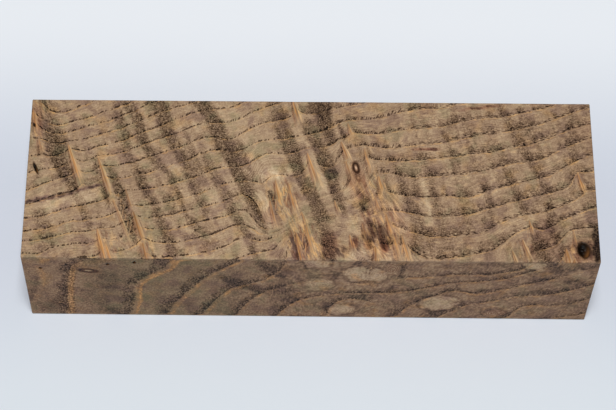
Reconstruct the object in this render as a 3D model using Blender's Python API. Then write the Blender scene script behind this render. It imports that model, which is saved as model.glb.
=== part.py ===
"""A stabilised ash burl block, sawn and sanded on all six faces: one solid piece of wood.

The block is 130 mm long, and it was sawn slightly out of true, so its right end is a little wider
and a little taller than its left end. Its edges are eased by a light sanding. The burl leaves a few
small hollows: a knot that has lost its core, a slit and a pit where bark grew in, and pinholes.

Lengths are in metres, and +Z is up. The origin is on the bottom face, at the middle of the block's
box. The front face looks along -Y, and the block's length runs along X.
"""

import math

import bmesh
import bpy
from mathutils import Euler, Vector

MM = 0.001

# Driving dimensions of the sawn block. The base and the front face are true to each other.
LENGTH = 130.0 * MM
WIDTH_AT_RIGHT_END = 42.0 * MM
WIDTH_AT_LEFT_END = 41.6 * MM
HEIGHT_AT_RIGHT_END = 28.8 * MM
HEIGHT_AT_LEFT_END = 28.4 * MM
FRONT_Y = -WIDTH_AT_RIGHT_END / 2

# The arris that sanding leaves on the edges.
ARRIS_WIDTH = 0.3 * MM
ARRIS_SEGMENTS = 3

# Sides of the ellipsoid that each hollow is cut with.
HOLLOW_SEGMENTS = 24
HOLLOW_RINGS = 12

# Colour and finish of the sanded wood.
WOOD_COLOUR = (0.27, 0.19, 0.115, 1.0)
WOOD_ROUGHNESS = 0.55
SMOOTH_ANGLE = math.radians(35.0)

# Natural hollows of the top face: (name, x, y, half width, half length, depth, turn in degrees).
# The turn is about +Z, and it leans the far end of the hollow to the left.
TOP_HOLLOWS = (
    ("knot_hollow", 61.3 * MM, -17.9 * MM, 1.3 * MM, 1.9 * MM, 0.9 * MM, 14.0),
    ("bark_slit", -63.1 * MM, 2.2 * MM, 0.4 * MM, 1.8 * MM, 0.7 * MM, 22.0),
    ("bark_pit", -64.1 * MM, 13.6 * MM, 0.22 * MM, 0.4 * MM, 0.4 * MM, 20.0),
)

# Pinholes of the front face: (name, x, z, radius, depth).
FRONT_PINHOLES = (
    ("pinhole_left", -61.0 * MM, 23.2 * MM, 0.30 * MM, 0.4 * MM),
    ("pinhole_middle", -45.7 * MM, 25.4 * MM, 0.32 * MM, 0.5 * MM),
    ("pinhole_right", -39.7 * MM, 26.3 * MM, 0.32 * MM, 0.5 * MM),
)


def clear_scene():
    """Removes every object that the scene starts with."""
    for obj in list(bpy.data.objects):
        bpy.data.objects.remove(obj, do_unlink=True)


def height_at(x):
    """Height of the top face above the base, at this distance along the block."""
    share = x / LENGTH + 0.5
    return HEIGHT_AT_LEFT_END + share * (HEIGHT_AT_RIGHT_END - HEIGHT_AT_LEFT_END)


def wood_material():
    """The plain finish of the sanded, resin-filled wood."""
    material = bpy.data.materials.new("ash_wood")
    material.use_nodes = True
    shader = material.node_tree.nodes["Principled BSDF"]
    shader.inputs["Base Color"].default_value = WOOD_COLOUR
    shader.inputs["Roughness"].default_value = WOOD_ROUGHNESS
    shader.inputs["Metallic"].default_value = 0.0
    return material


def new_object(name, builder):
    """Links a new object that takes its mesh from the bmesh, with its faces pointing out."""
    mesh = bpy.data.meshes.new(name)
    bmesh.ops.recalc_face_normals(builder, faces=builder.faces)
    builder.to_mesh(mesh)
    builder.free()
    obj = bpy.data.objects.new(name, mesh)
    bpy.context.scene.collection.objects.link(obj)
    return obj


def sawn_block(name):
    """The block as it comes off the saw: six flat faces with square edges."""
    builder = bmesh.new()
    ends = []
    for x, width in ((-LENGTH / 2, WIDTH_AT_LEFT_END), (LENGTH / 2, WIDTH_AT_RIGHT_END)):
        section = (
            (FRONT_Y, 0.0),
            (FRONT_Y + width, 0.0),
            (FRONT_Y + width, height_at(x)),
            (FRONT_Y, height_at(x)),
        )
        ends.append([builder.verts.new((x, y, z)) for y, z in section])
    left, right = ends
    builder.faces.new(left)
    builder.faces.new(right)
    for corner in range(4):
        after = (corner + 1) % 4
        builder.faces.new((left[corner], left[after], right[after], right[corner]))
    return new_object(name, builder)


def shade_faces(block):
    """Shades the eased edges smooth, and keeps the rims of the hollows crisp."""
    block.data.shade_smooth()
    block.data.set_sharp_from_angle(angle=SMOOTH_ANGLE)


def ease_edges(block):
    """Rounds all twelve edges by the width that a light sanding leaves."""
    arris = block.modifiers.new("arris", "BEVEL")
    arris.limit_method = "ANGLE"
    arris.width = ARRIS_WIDTH
    arris.segments = ARRIS_SEGMENTS


def hollow_cutter(name, centre, half_sizes, turn=(0.0, 0.0, 0.0)):
    """An ellipsoid centred on the face that it hollows, so that half of it is sunk in the wood."""
    builder = bmesh.new()
    bmesh.ops.create_uvsphere(builder, u_segments=HOLLOW_SEGMENTS, v_segments=HOLLOW_RINGS, radius=1.0)
    for vert in builder.verts:
        vert.co = Vector(share * size for share, size in zip(vert.co, half_sizes))
    cutter = new_object(name, builder)
    cutter.location = centre
    cutter.rotation_euler = Euler(turn)
    cutter.display_type = "WIRE"
    cutter.hide_render = True
    return cutter


def hollow_cutters():
    """One cutter for each natural hollow of the top and front faces."""
    cutters = []
    for name, x, y, half_width, half_length, depth, turn in TOP_HOLLOWS:
        half_sizes = (half_width, half_length, depth)
        cutters.append(hollow_cutter(name, (x, y, height_at(x)), half_sizes, (0.0, 0.0, math.radians(turn))))
    for name, x, z, radius, depth in FRONT_PINHOLES:
        cutters.append(hollow_cutter(name, (x, FRONT_Y, z), (radius, depth, radius)))
    return cutters


def cut_hollows(block, cutters):
    """Sinks each cutter's hollow into the block."""
    for cutter in cutters:
        hollow = block.modifiers.new(cutter.name, "BOOLEAN")
        hollow.operation = "DIFFERENCE"
        hollow.solver = "EXACT"
        hollow.object = cutter


def build():
    """Builds the whole object."""
    clear_scene()
    block = sawn_block("ash_block")
    block.data.materials.append(wood_material())
    shade_faces(block)
    ease_edges(block)
    cut_hollows(block, hollow_cutters())


build()
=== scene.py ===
"""The looks of a stabilised ash burl block: sawn and sanded wood with curly grain, growth rings and pips.

The block is one closed surface. Numpy works out where its points lie, and it also works out the wood's
figure at each point: which growth ring it belongs to, how strong the curl is, and how far it lies from the
nearest pip, knot or eye. The wood's nodes turn these values into pores, gold lines, mottle and colour.

Everything is drawn in millimetres and put into the meshes in metres. The origin is under the middle of the
block, +X runs along its length, -Y out of its front face and +Z up.
"""

import logging
import math
from dataclasses import dataclass, field
from enum import Enum
from typing import Any, Callable, Mapping, Sequence

import bpy
import numpy as np
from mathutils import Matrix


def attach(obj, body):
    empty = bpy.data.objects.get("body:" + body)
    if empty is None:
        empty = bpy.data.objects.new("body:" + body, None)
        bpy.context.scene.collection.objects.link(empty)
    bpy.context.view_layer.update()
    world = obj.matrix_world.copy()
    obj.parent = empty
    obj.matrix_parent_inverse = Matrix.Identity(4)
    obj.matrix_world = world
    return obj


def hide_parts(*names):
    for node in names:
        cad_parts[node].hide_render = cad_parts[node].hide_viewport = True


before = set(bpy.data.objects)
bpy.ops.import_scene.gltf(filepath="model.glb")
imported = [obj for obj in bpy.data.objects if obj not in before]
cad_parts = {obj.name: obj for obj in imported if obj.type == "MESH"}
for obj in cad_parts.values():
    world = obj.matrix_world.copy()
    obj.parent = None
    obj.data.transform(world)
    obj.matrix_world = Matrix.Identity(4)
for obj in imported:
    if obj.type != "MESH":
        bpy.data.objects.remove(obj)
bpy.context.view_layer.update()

LOG = logging.getLogger("ash_block")

# A millimetre in metres, and a metre in millimetres.
MM = 0.001
METRE = 1000.0

BAKE_MAP = "OFBake"

Array = np.ndarray
Pair = tuple[float, float]
Rgb = tuple[int, int, int]
Rgba = tuple[float, float, float, float]


# Numpy helpers.


def smoothstep(low: float, high: float, value: Array) -> Array:
    """An S-shaped step: 0 up to low, 1 from high on, and 3t^2 - 2t^3 between them (high may be the lower).

    Args:
        low: the value where the step starts.
        high: the value where the step ends.
        value: the numbers to put through the step.

    Returns:
        Numbers from 0 to 1, one for each value.
    """
    t = np.clip((value - low) / (high - low), 0.0, 1.0)
    return t * t * (3.0 - 2.0 * t)


@dataclass(frozen=True)
class Waves:
    """A smooth uneven field: plane sine waves of about one length in mm, in seeded directions."""

    length: float
    seed: int
    count: int = 8

    def at(self, points: Array) -> Array:
        """Adds the waves up and divides by half their count.

        Args:
            points: positions in mm, one row each.

        Returns:
            One number for each point, about -1 to 1.
        """
        random = np.random.default_rng(self.seed)
        directions = random.normal(size=(self.count, 3))
        directions /= np.linalg.norm(directions, axis=1, keepdims=True)
        lengths = self.length * random.uniform(0.7, 1.6, self.count)
        phases = random.uniform(0.0, math.tau, self.count)
        turns = math.tau * (points @ directions.T) / lengths + phases
        return np.sin(turns).sum(axis=1) * 2.0 / self.count


# The sawn block: sizes, shape and mesh.


@dataclass(frozen=True)
class Hollow:
    """A shallow elliptic hollow of a sanded face.

    Its centre is (x, y) on the top, or (x, z) on the front. The turn leans its far end to the left.
    """

    x: float
    y: float
    half_width: float
    half_length: float
    depth: float
    turn: float = 0.0

    def sink(self, x: Array, y: Array) -> Array:
        """How deep the hollow is below the face: depth times the root of 1 - d^2, d being 1 at the rim.

        Args:
            x: first coordinates on the face, in mm.
            y: second coordinates on the face, in mm.

        Returns:
            Depths in mm, 0 outside the rim.
        """
        u, v = turned(x - self.x, y - self.y, self.turn)
        square = (u / self.half_width) ** 2 + (v / self.half_length) ** 2
        return self.depth * np.sqrt(np.clip(1.0 - square, 0.0, 1.0))


def turned(x: Array, y: Array, turn: float) -> tuple[Array, Array]:
    """The coordinates across and along an axis that leans to the left of +Y by turn degrees.

    Args:
        x: distances along X from the axis' foot, in mm.
        y: distances along Y from the axis' foot, in mm.
        turn: lean of the axis in degrees.

    Returns:
        The distances across the axis and along it, in mm.
    """
    cosine, sine = math.cos(math.radians(turn)), math.sin(math.radians(turn))
    return x * cosine + y * sine, y * cosine - x * sine


@dataclass
class SawnBlock:
    """The block's sizes in mm, and the closed lattice surface that they give.

    The pitches are the steps of the lattice: over the plain faces, by the hollows and on the arrises. A
    point counts as on a face when its share of the way is within touch of it.
    """

    length: float = 130.0
    left_width: float = 41.6
    right_width: float = 42.0
    left_height: float = 28.4
    right_height: float = 28.8
    front_y: float = -21.0
    arris: float = 0.3
    pitch: float = 0.62
    fine_pitch: float = 0.2
    arris_pitch: float = 0.1
    fine_margin: float = 0.8
    density_step: float = 0.01
    touch: float = 0.001
    arris_wear: float = 0.15
    arris_waves: Waves = Waves(9.0, 3)
    hollow_wear: float = 0.12
    hollow_waves: Waves = Waves(0.9, 8)
    island_gap: float = 1.5
    top_hollows: tuple[Hollow, ...] = (
        Hollow(61.3, -17.9, 1.3, 1.9, 0.9, 14.0),
        Hollow(-63.1, 2.2, 0.4, 1.8, 0.7, 22.0),
        Hollow(-64.1, 13.6, 0.22, 0.4, 0.4, 20.0),
    )
    front_hollows: tuple[Hollow, ...] = (
        Hollow(-61.0, 23.2, 0.30, 0.30, 0.4),
        Hollow(-45.7, 25.4, 0.32, 0.32, 0.5),
        Hollow(-39.7, 26.3, 0.32, 0.32, 0.5),
    )
    points: Array = field(default_factory=lambda: np.zeros((0, 3)))

    def share(self, x: Array) -> Array:
        """How far along the block x lies: 0 at the left end, 1 at the right."""
        return x / self.length + 0.5

    def width(self, x: Array) -> Array:
        """The block's width in mm at x, which grows evenly from left to right."""
        return self.left_width + self.share(x) * (self.right_width - self.left_width)

    def height(self, x: Array) -> Array:
        """The block's height in mm at x, which grows evenly from left to right."""
        return self.left_height + self.share(x) * (self.right_height - self.left_height)

    def lines(self, low: float, high: float, fine_spans: Sequence[Pair]) -> Array:
        """Places of the lattice lines on one axis, so that each step holds the same share of a density.

        The density is one line a pitch, one a fine pitch where a hollow lies, and closer still on the
        arrises.

        Args:
            low: first coordinate in mm.
            high: last coordinate in mm.
            fine_spans: (start, end) of each stretch that needs the fine pitch.

        Returns:
            The coordinates of the lines in mm, from low to high.
        """
        at = np.linspace(low, high, int((high - low) / self.density_step) + 1)
        density = np.full(at.size, 1.0 / self.pitch)
        for start, end in fine_spans:
            near = smoothstep(self.fine_margin, 0.0, np.maximum(start - at, at - end))
            density = np.maximum(density, near / self.fine_pitch)
        rim = np.minimum(at - low, high - at)
        density = np.where(rim < self.arris, 1.0 / self.arris_pitch, density)
        total = np.concatenate([[0.0], np.cumsum((density[1:] + density[:-1]) * 0.5 * np.diff(at))])
        count = int(math.ceil(total[-1]))
        return np.interp(np.linspace(0.0, total[-1], count + 1), total, at)

    def place(self, x: Array, y_share: Array, z_share: Array) -> Array:
        """Puts lattice points onto the sanded surface.

        Each point is first put on the square-edged block. It is then pulled onto the arris: the nearest
        point of the block shrunk by the arris radius, plus that radius along the way to the point. Last, the
        hollows sink it.

        Args:
            x: distances along the block in mm.
            y_share: 0 at the front face, 1 at the back.
            z_share: 0 at the base, 1 at the top.

        Returns:
            Positions in mm, one row each.
        """
        width, height = self.width(x), self.height(x)
        square = np.stack([x, self.front_y + y_share * width, z_share * height], axis=1)
        wear = 1.0 - self.arris_wear + self.arris_wear * self.arris_waves.at(square)
        worn = self.arris * wear[:, None]
        half = self.length / 2
        low = np.stack([np.full_like(x, -half), np.full_like(x, self.front_y), np.zeros_like(x)], axis=1)
        high = np.stack([np.full_like(x, half), self.front_y + width, height], axis=1)
        inner = np.clip(square, low + worn, high - worn)
        away = square - inner
        reach = np.linalg.norm(away, axis=1, keepdims=True)
        points = inner + away * worn / np.maximum(reach, 1e-9)
        self.points = points.copy()
        on_top = z_share > 1.0 - self.touch
        on_front = y_share < self.touch
        ragged = 1.0 + self.hollow_wear * self.hollow_waves.at(square)
        for hollow in self.top_hollows:
            points[:, 2] -= np.where(on_top, hollow.sink(points[:, 0], points[:, 1]) * ragged, 0.0)
        for hollow in self.front_hollows:
            points[:, 1] += np.where(on_front, hollow.sink(points[:, 0], points[:, 2]) * ragged, 0.0)
        return points

    def build(self) -> bpy.types.Object:
        """Makes the block's mesh: a lattice over all six faces, closed along its edges, with a bake map.

        Returns:
            The new object, linked to the scene.
        """
        spans_x = [(h.x - h.half_width, h.x + h.half_width) for h in self.top_hollows + self.front_hollows]
        spans_y = [(h.y - h.half_length, h.y + h.half_length) for h in self.top_hollows]
        spans_z = [(h.y - h.half_length, h.y + h.half_length) for h in self.front_hollows]
        axes = (
            self.lines(-self.length / 2, self.length / 2, spans_x),
            self.lines(self.front_y, self.front_y + self.right_width, spans_y),
            self.lines(0.0, self.right_height, spans_z),
        )
        sizes = tuple(axis.size for axis in axes)
        inside = np.zeros(sizes, bool)
        inside[1:-1, 1:-1, 1:-1] = True
        numbers = np.full(sizes, -1)
        numbers[~inside] = np.arange((~inside).sum())
        i, j, k = np.nonzero(~inside)
        y_share = (axes[1][j] - self.front_y) / self.right_width
        points = self.place(axes[0][i], y_share, axes[2][k] / self.right_height)
        quads, maps = self.faces(numbers, axes)
        mesh = bpy.data.meshes.new("ash_burl_block")
        mesh.vertices.add(len(points))
        mesh.vertices.foreach_set("co", (points * MM).astype(np.float32).ravel())
        mesh.loops.add(quads.size)
        mesh.loops.foreach_set("vertex_index", quads.astype(np.int32).ravel())
        mesh.polygons.add(len(quads))
        mesh.polygons.foreach_set("loop_start", np.arange(0, quads.size, 4, dtype=np.int32))
        uv_layer = mesh.uv_layers.new(name=BAKE_MAP)
        uv_layer.data.foreach_set("uv", maps.astype(np.float32).ravel())
        mesh.update(calc_edges=True)
        mesh.validate()
        mesh.shade_smooth()
        block = bpy.data.objects.new("ash_burl_block", mesh)
        bpy.context.scene.collection.objects.link(block)
        return block

    def faces(self, numbers: Array, axes: tuple[Array, Array, Array]) -> tuple[Array, Array]:
        """The quads of all six faces, and their corners on the bake map.

        Each face is a grid of two lattice axes. Its island has the face's true size, so the map keeps the
        same scale all over: four long strips above each other, and the two ends beside them.

        Args:
            numbers: the vertex number of each lattice node on the surface.
            axes: the places of the lattice lines on X, Y and Z in mm.

        Returns:
            The quads as rows of four vertex numbers, and one (u, v) row for each of their corners.
        """
        gap = self.island_gap
        x, y, z = (axis - axis[0] for axis in axes)
        length, width, height = x[-1], y[-1], z[-1]
        sheet = length + height + 3.0 * gap
        strips = np.cumsum([gap, width + gap, width + gap, height + gap])
        column = length + 2.0 * gap
        islands = (
            (numbers[:, :, -1], x, y, (gap, strips[0]), False, False),
            (numbers[:, :, 0], x, y, (gap, strips[1]), True, False),
            (numbers[:, 0, :], x, z, (gap, strips[2]), False, False),
            (numbers[:, -1, :], x, z, (gap, strips[3]), True, False),
            (numbers[-1, :, :], y, z, (column, gap), False, True),
            (numbers[0, :, :], y, z, (column, width + 2.0 * gap), True, True),
        )
        quads, maps = [], []
        for grid, across, up, corner, turned_over, on_side in islands:
            u, v = np.meshgrid(across, up, indexing="ij")
            if on_side:
                u, v = v, u
            flat = np.stack([u + corner[0], v + corner[1]], axis=-1) / sheet
            ring = [np.s_[:-1, :-1], np.s_[1:, :-1], np.s_[1:, 1:], np.s_[:-1, 1:]]
            if turned_over:
                ring.reverse()
            quads.append(np.stack([grid[at].ravel() for at in ring], axis=1))
            maps.append(np.stack([flat[at].reshape(-1, 2) for at in ring], axis=1))
        return np.concatenate(quads), np.concatenate(maps).reshape(-1, 2)


# The wood's figure, as read from the photograph. Places and sizes are in mm, turns in degrees.

# Points on the growth rings of the top (x, y) and of the front (x, z), by the ring's number.
TOP_RINGS: dict[int, tuple[Pair, ...]] = {
    2: ((-63, 18.8), (-61, 17.3), (-59.5, 17), (-56, 17.8), (-53, 19.2), (-49, 21)),
    3: ((-62.5, 14.8), (-60, 13.5), (-55.5, 14.3), (-52, 15.3), (-50, 16.3), (-46.5, 18), (-42.5, 19.6)),
    4: ((-64, 13.2), (-62, 12.3), (-59, 11.3), (-54.5, 12.6), (-51.3, 13.6), (-46.5, 15.2), (-42, 17.5),
        (-38.3, 19.5)),
    5: ((-64, 9.6), (-61, 9.3), (-57, 8.5), (-54, 9.1), (-52, 9.7), (-49, 11), (-44, 12.8), (-38, 15.7),
        (-33.5, 18), (-28, 20)),
    6: ((-63, 5), (-57, 5.4), (-55.5, 6.8), (-52, 6.4), (-49.5, 7.9), (-45, 9.1), (-42, 10.5), (-38, 12.3),
        (-32.3, 15.1), (-28, 17), (-24, 18.4), (-20, 18.4), (-16, 20.2)),
    7: ((-62, 1.7), (-60, 1.8), (-51.5, 4), (-48, 5.3), (-45, 5.9), (-39, 8.6), (-35.3, 10.1), (-30, 12.2),
        (-27.2, 13.6), (-23.5, 14.8), (-18, 15.2), (-13.5, 17.7), (-8, 20)),
    8: ((-65, -4), (-62, -2.7), (-57.5, -0.6), (-50.2, 1), (-45.7, 2.5), (-39.5, 4.3), (-34.5, 6.3),
        (-29.5, 8.3), (-22.5, 10.8), (-18, 10.2), (-16.3, 11.8), (-14, 13.3), (-8.5, 15.4), (-6, 15.7),
        (-1, 16.9), (5, 18.8), (10, 20), (13, 20.8)),
    9: ((-65, -7.6), (-60, -5.7), (-54, -4.1), (-49.5, -2), (-43.8, -0.4), (-38.5, 0.7), (-33.2, 2.9),
        (-28.5, 4.7), (-21.3, 7.5), (-14, 8.6), (-11, 10), (-7.7, 10.4), (-3, 11.2), (2, 12.5), (6.5, 14.9),
        (10, 15.8), (15, 16.2), (20, 17.9), (27, 19.2), (30, 19.1), (32, 20), (37, 20.8)),
    10: ((-65, -11.3), (-58.5, -9.6), (-50, -7), (-46.5, -6.3), (-39.5, -3.5), (-33, -2), (-27, 0),
         (-22.5, 2), (-19.2, 3), (-14, 3.8), (-12, 5.9), (-10, 6.6), (-6, 6.5), (0, 8.2), (5, 8.9),
         (8, 10.8), (9.5, 11.7), (13.5, 12), (19, 12.9), (25, 13.6), (30, 14.4), (35, 15.7), (44, 17),
         (51, 18.8), (57, 20.6)),
    11: ((-65, -14.7), (-58.5, -13.4), (-57, -12.5), (-51, -11.3), (-38.5, -8), (-31, -6.1), (-25, -4),
         (-21.3, -2.2), (-17, -1), (-12, -2), (-10.5, -0.5), (-8, 0.2), (-5, 0.1), (-10.9, -3), (-10, -7),
         (-8.9, -11.5), (3, 2.6), (5, 3.3), (10.5, 8.9), (14, 8.5), (18, 8.3), (24.5, 9.3), (32, 10.3),
         (38, 11.9), (44, 12.9), (51, 14.7), (55, 15.9), (60, 18.2), (65, 19.9)),
    12: ((-62.5, -16.8), (-57, -15.5), (-52.5, -14.5), (-35, -10.5), (-29.5, -9), (-24, -7.4),
         (-17.7, -5.2), (-15.3, -4.1), (-13.6, -5.6), (-12.2, -8.2), (-10.8, -11), (2, -4.9), (5, -4),
         (8.7, -1.5), (16, 4.8), (24, 5), (29, 5.7), (35, 6.6), (42.5, 7.6), (49, 9.3), (54.5, 11.2),
         (60, 13.9), (65, 15.3)),
    13: ((-64, -19.7), (-59, -18.9), (-53.5, -17.6), (-49.5, -17.6), (-37, -13.9), (-32, -13.7),
         (-24.5, -11.5), (-18, -9.5), (-15, -8.4), (-13.2, -10.5), (-11.6, -12.6), (17, 1.9), (20, 0.9),
         (26, 0.9), (30, 1.1), (39, 2.5), (46, 4.7), (50, 5), (56.5, 7.8), (60, 9.7), (65, 11.6)),
    14: ((-34, -17), (-30, -16.8), (-24, -15.3), (-20.5, -13.9), (-15, -12.2), (-12.6, -13.6),
         (-10.6, -14.6), (21, -4.2), (27, -4.8), (31, -4.1), (35, -4.8), (40, -2.9), (46, -1.2),
         (52.5, 0.7), (57, 2.9), (60, 4.7), (65, 7.1)),
    15: ((-32, -20.7), (-27, -20), (-20, -18.2), (-13.5, -15.9), (-8, -14.8), (-5, -13.3), (-2.5, -12),
         (22, -8.5), (24, -9.3), (32, -9.4), (38, -8.2), (45, -5.8), (52, -3.7), (59, -1.5), (61, 1.5),
         (65, 2.7)),
    16: ((-15, -20.5), (-11, -18.9), (-7.7, -18.5), (-7.4, -17), (25, -14.5), (32, -14.6), (39.5, -13.6),
         (45.5, -9.9), (49, -8.9), (55.5, -7), (61.5, -4), (65, -2.4)),
    17: ((23.5, -19.5), (25, -20.2), (32, -20), (38.5, -18.5), (42, -17), (44.5, -15), (47.5, -12.9),
         (51.5, -13.1), (54.5, -12), (58, -9.7), (62, -7.8), (65, -6.9)),
    18: ((52, -17.7), (55, -16.8), (58, -13.2), (61, -12.7), (64.5, -11.8)),
    19: ((57, -20),),
}
FRONT_RINGS: dict[int, tuple[Pair, ...]] = {
    13: ((-62, 28.6), (-64, 20), (-65, 12)),
    14: ((-58, 1), (-57.5, 10), (-57, 15), (-56, 22), (-54, 27), (-50, 28.5)),
    15: ((-43.5, 3), (-42.5, 10), (-41.5, 17), (-38, 22), (-34.5, 25.5)),
    16: ((-35, 1), (-33.5, 6), (-30, 13), (-25.5, 20), (-21, 25), (-17, 28.5)),
    17: ((-27, 1), (-25, 5), (-23, 9), (-19, 15), (-15, 17.5), (-12, 18.5), (-7, 25), (-6, 28.6)),
    18: ((-18, 1), (-14.5, 9), (-12, 12), (-9.5, 14), (-5, 17), (0, 19), (6, 20), (15, 19), (22, 21),
         (30, 22.3), (40, 22.8), (47, 25)),
    19: ((-8, 1), (-4.5, 7), (-1, 10.3), (5, 12.3), (10, 13), (17, 13.3), (24, 15), (30, 17.7), (35, 19),
         (40, 20), (46, 22.3), (48, 24)),
    20: ((4.5, 5.5), (9, 10.3), (20, 2), (24, 8), (27, 11), (30, 13), (33, 15), (38, 13.2), (45, 16),
         (50, 18.5), (53, 20)),
    21: ((30, 1), (34, 5), (36, 7.5), (40, 9), (47, 12), (53, 12.8), (57, 14.3), (64, 18.3)),
    22: ((47, 3), (50, 7.5), (58, 8), (62, 9.7), (65, 12.3)),
    23: ((55, 0.5), (60, 2)),
}


@dataclass
class GrowthRings:
    """The growth rings as one smooth field in space: each whole number is the start of a ring."""

    block: SawnBlock
    stiffness: float = 0.01
    unit: float = 10.0
    chunk: int = 4000
    guides: Array = field(init=False)
    weights: Array = field(init=False)

    def __post_init__(self) -> None:
        """Fits the field to the ring lines of both faces.

        The field is a plane plus a sum of cubed distances to the guide points. The weights make it meet the
        guide points' ring numbers, give or take what the stiffness smooths away.
        """
        top = [(x, y, self.block.height(x), -n) for n, line in TOP_RINGS.items() for x, y in line]
        front = [(x, self.block.front_y, z, -n) for n, line in FRONT_RINGS.items() for x, z in line]
        rows = np.array(top + front, float)
        self.guides = rows[:, :3] / self.unit
        count = len(rows)
        plane = np.c_[np.ones(count), self.guides]
        system = np.zeros((count + 4, count + 4))
        system[:count, :count] = self.kernel(self.guides) + np.eye(count) * self.stiffness
        system[:count, count:] = plane
        system[count:, :count] = plane.T
        self.weights = np.linalg.solve(system, np.r_[rows[:, 3], np.zeros(4)])

    def kernel(self, points: Array) -> Array:
        """The cubed distance from each point to each guide point."""
        squares = ((points[:, None, :] - self.guides[None, :, :]) ** 2).sum(axis=2)
        return squares**1.5

    def at(self, points: Array) -> Array:
        """The ring number at each point, which falls towards -Y and -Z.

        Args:
            points: positions in mm, one row each.

        Returns:
            One ring number for each point.
        """
        scaled = points / self.unit
        found = [
            self.kernel(some) @ self.weights[:-4] + np.c_[np.ones(len(some)), some] @ self.weights[-4:]
            for some in np.array_split(scaled, len(scaled) // self.chunk + 1)
        ]
        return np.concatenate(found)

    def slope(self, points: Array) -> Array:
        """How the ring number grows along X, Y and Z, from the formula's own derivative.

        A cubed distance grows by three times the distance times the way from its guide point.

        Args:
            points: positions in mm, one row each.

        Returns:
            Rows of three growths, in rings a mm.
        """
        found = []
        for some in np.array_split(points / self.unit, len(points) // self.chunk + 1):
            away = some[:, None, :] - self.guides[None, :, :]
            pull = np.linalg.norm(away, axis=2) * self.weights[:-4]
            found.append(3.0 * (pull[:, :, None] * away).sum(axis=1) + self.weights[-3:])
        return np.concatenate(found) / self.unit


# Where the radial lines of the top cross the middle of the block, and how far they lean: dx for each dy.
LEAN_AT = (-65, -56, -40, -28, -16, -2, 5, 15, 25, 35, 45, 51, 65)
LEAN = (-0.3, -0.33, -0.33, -0.42, -0.47, -0.36, -0.39, -0.28, -0.15, -0.17, -0.35, -0.3, -0.28)

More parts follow.
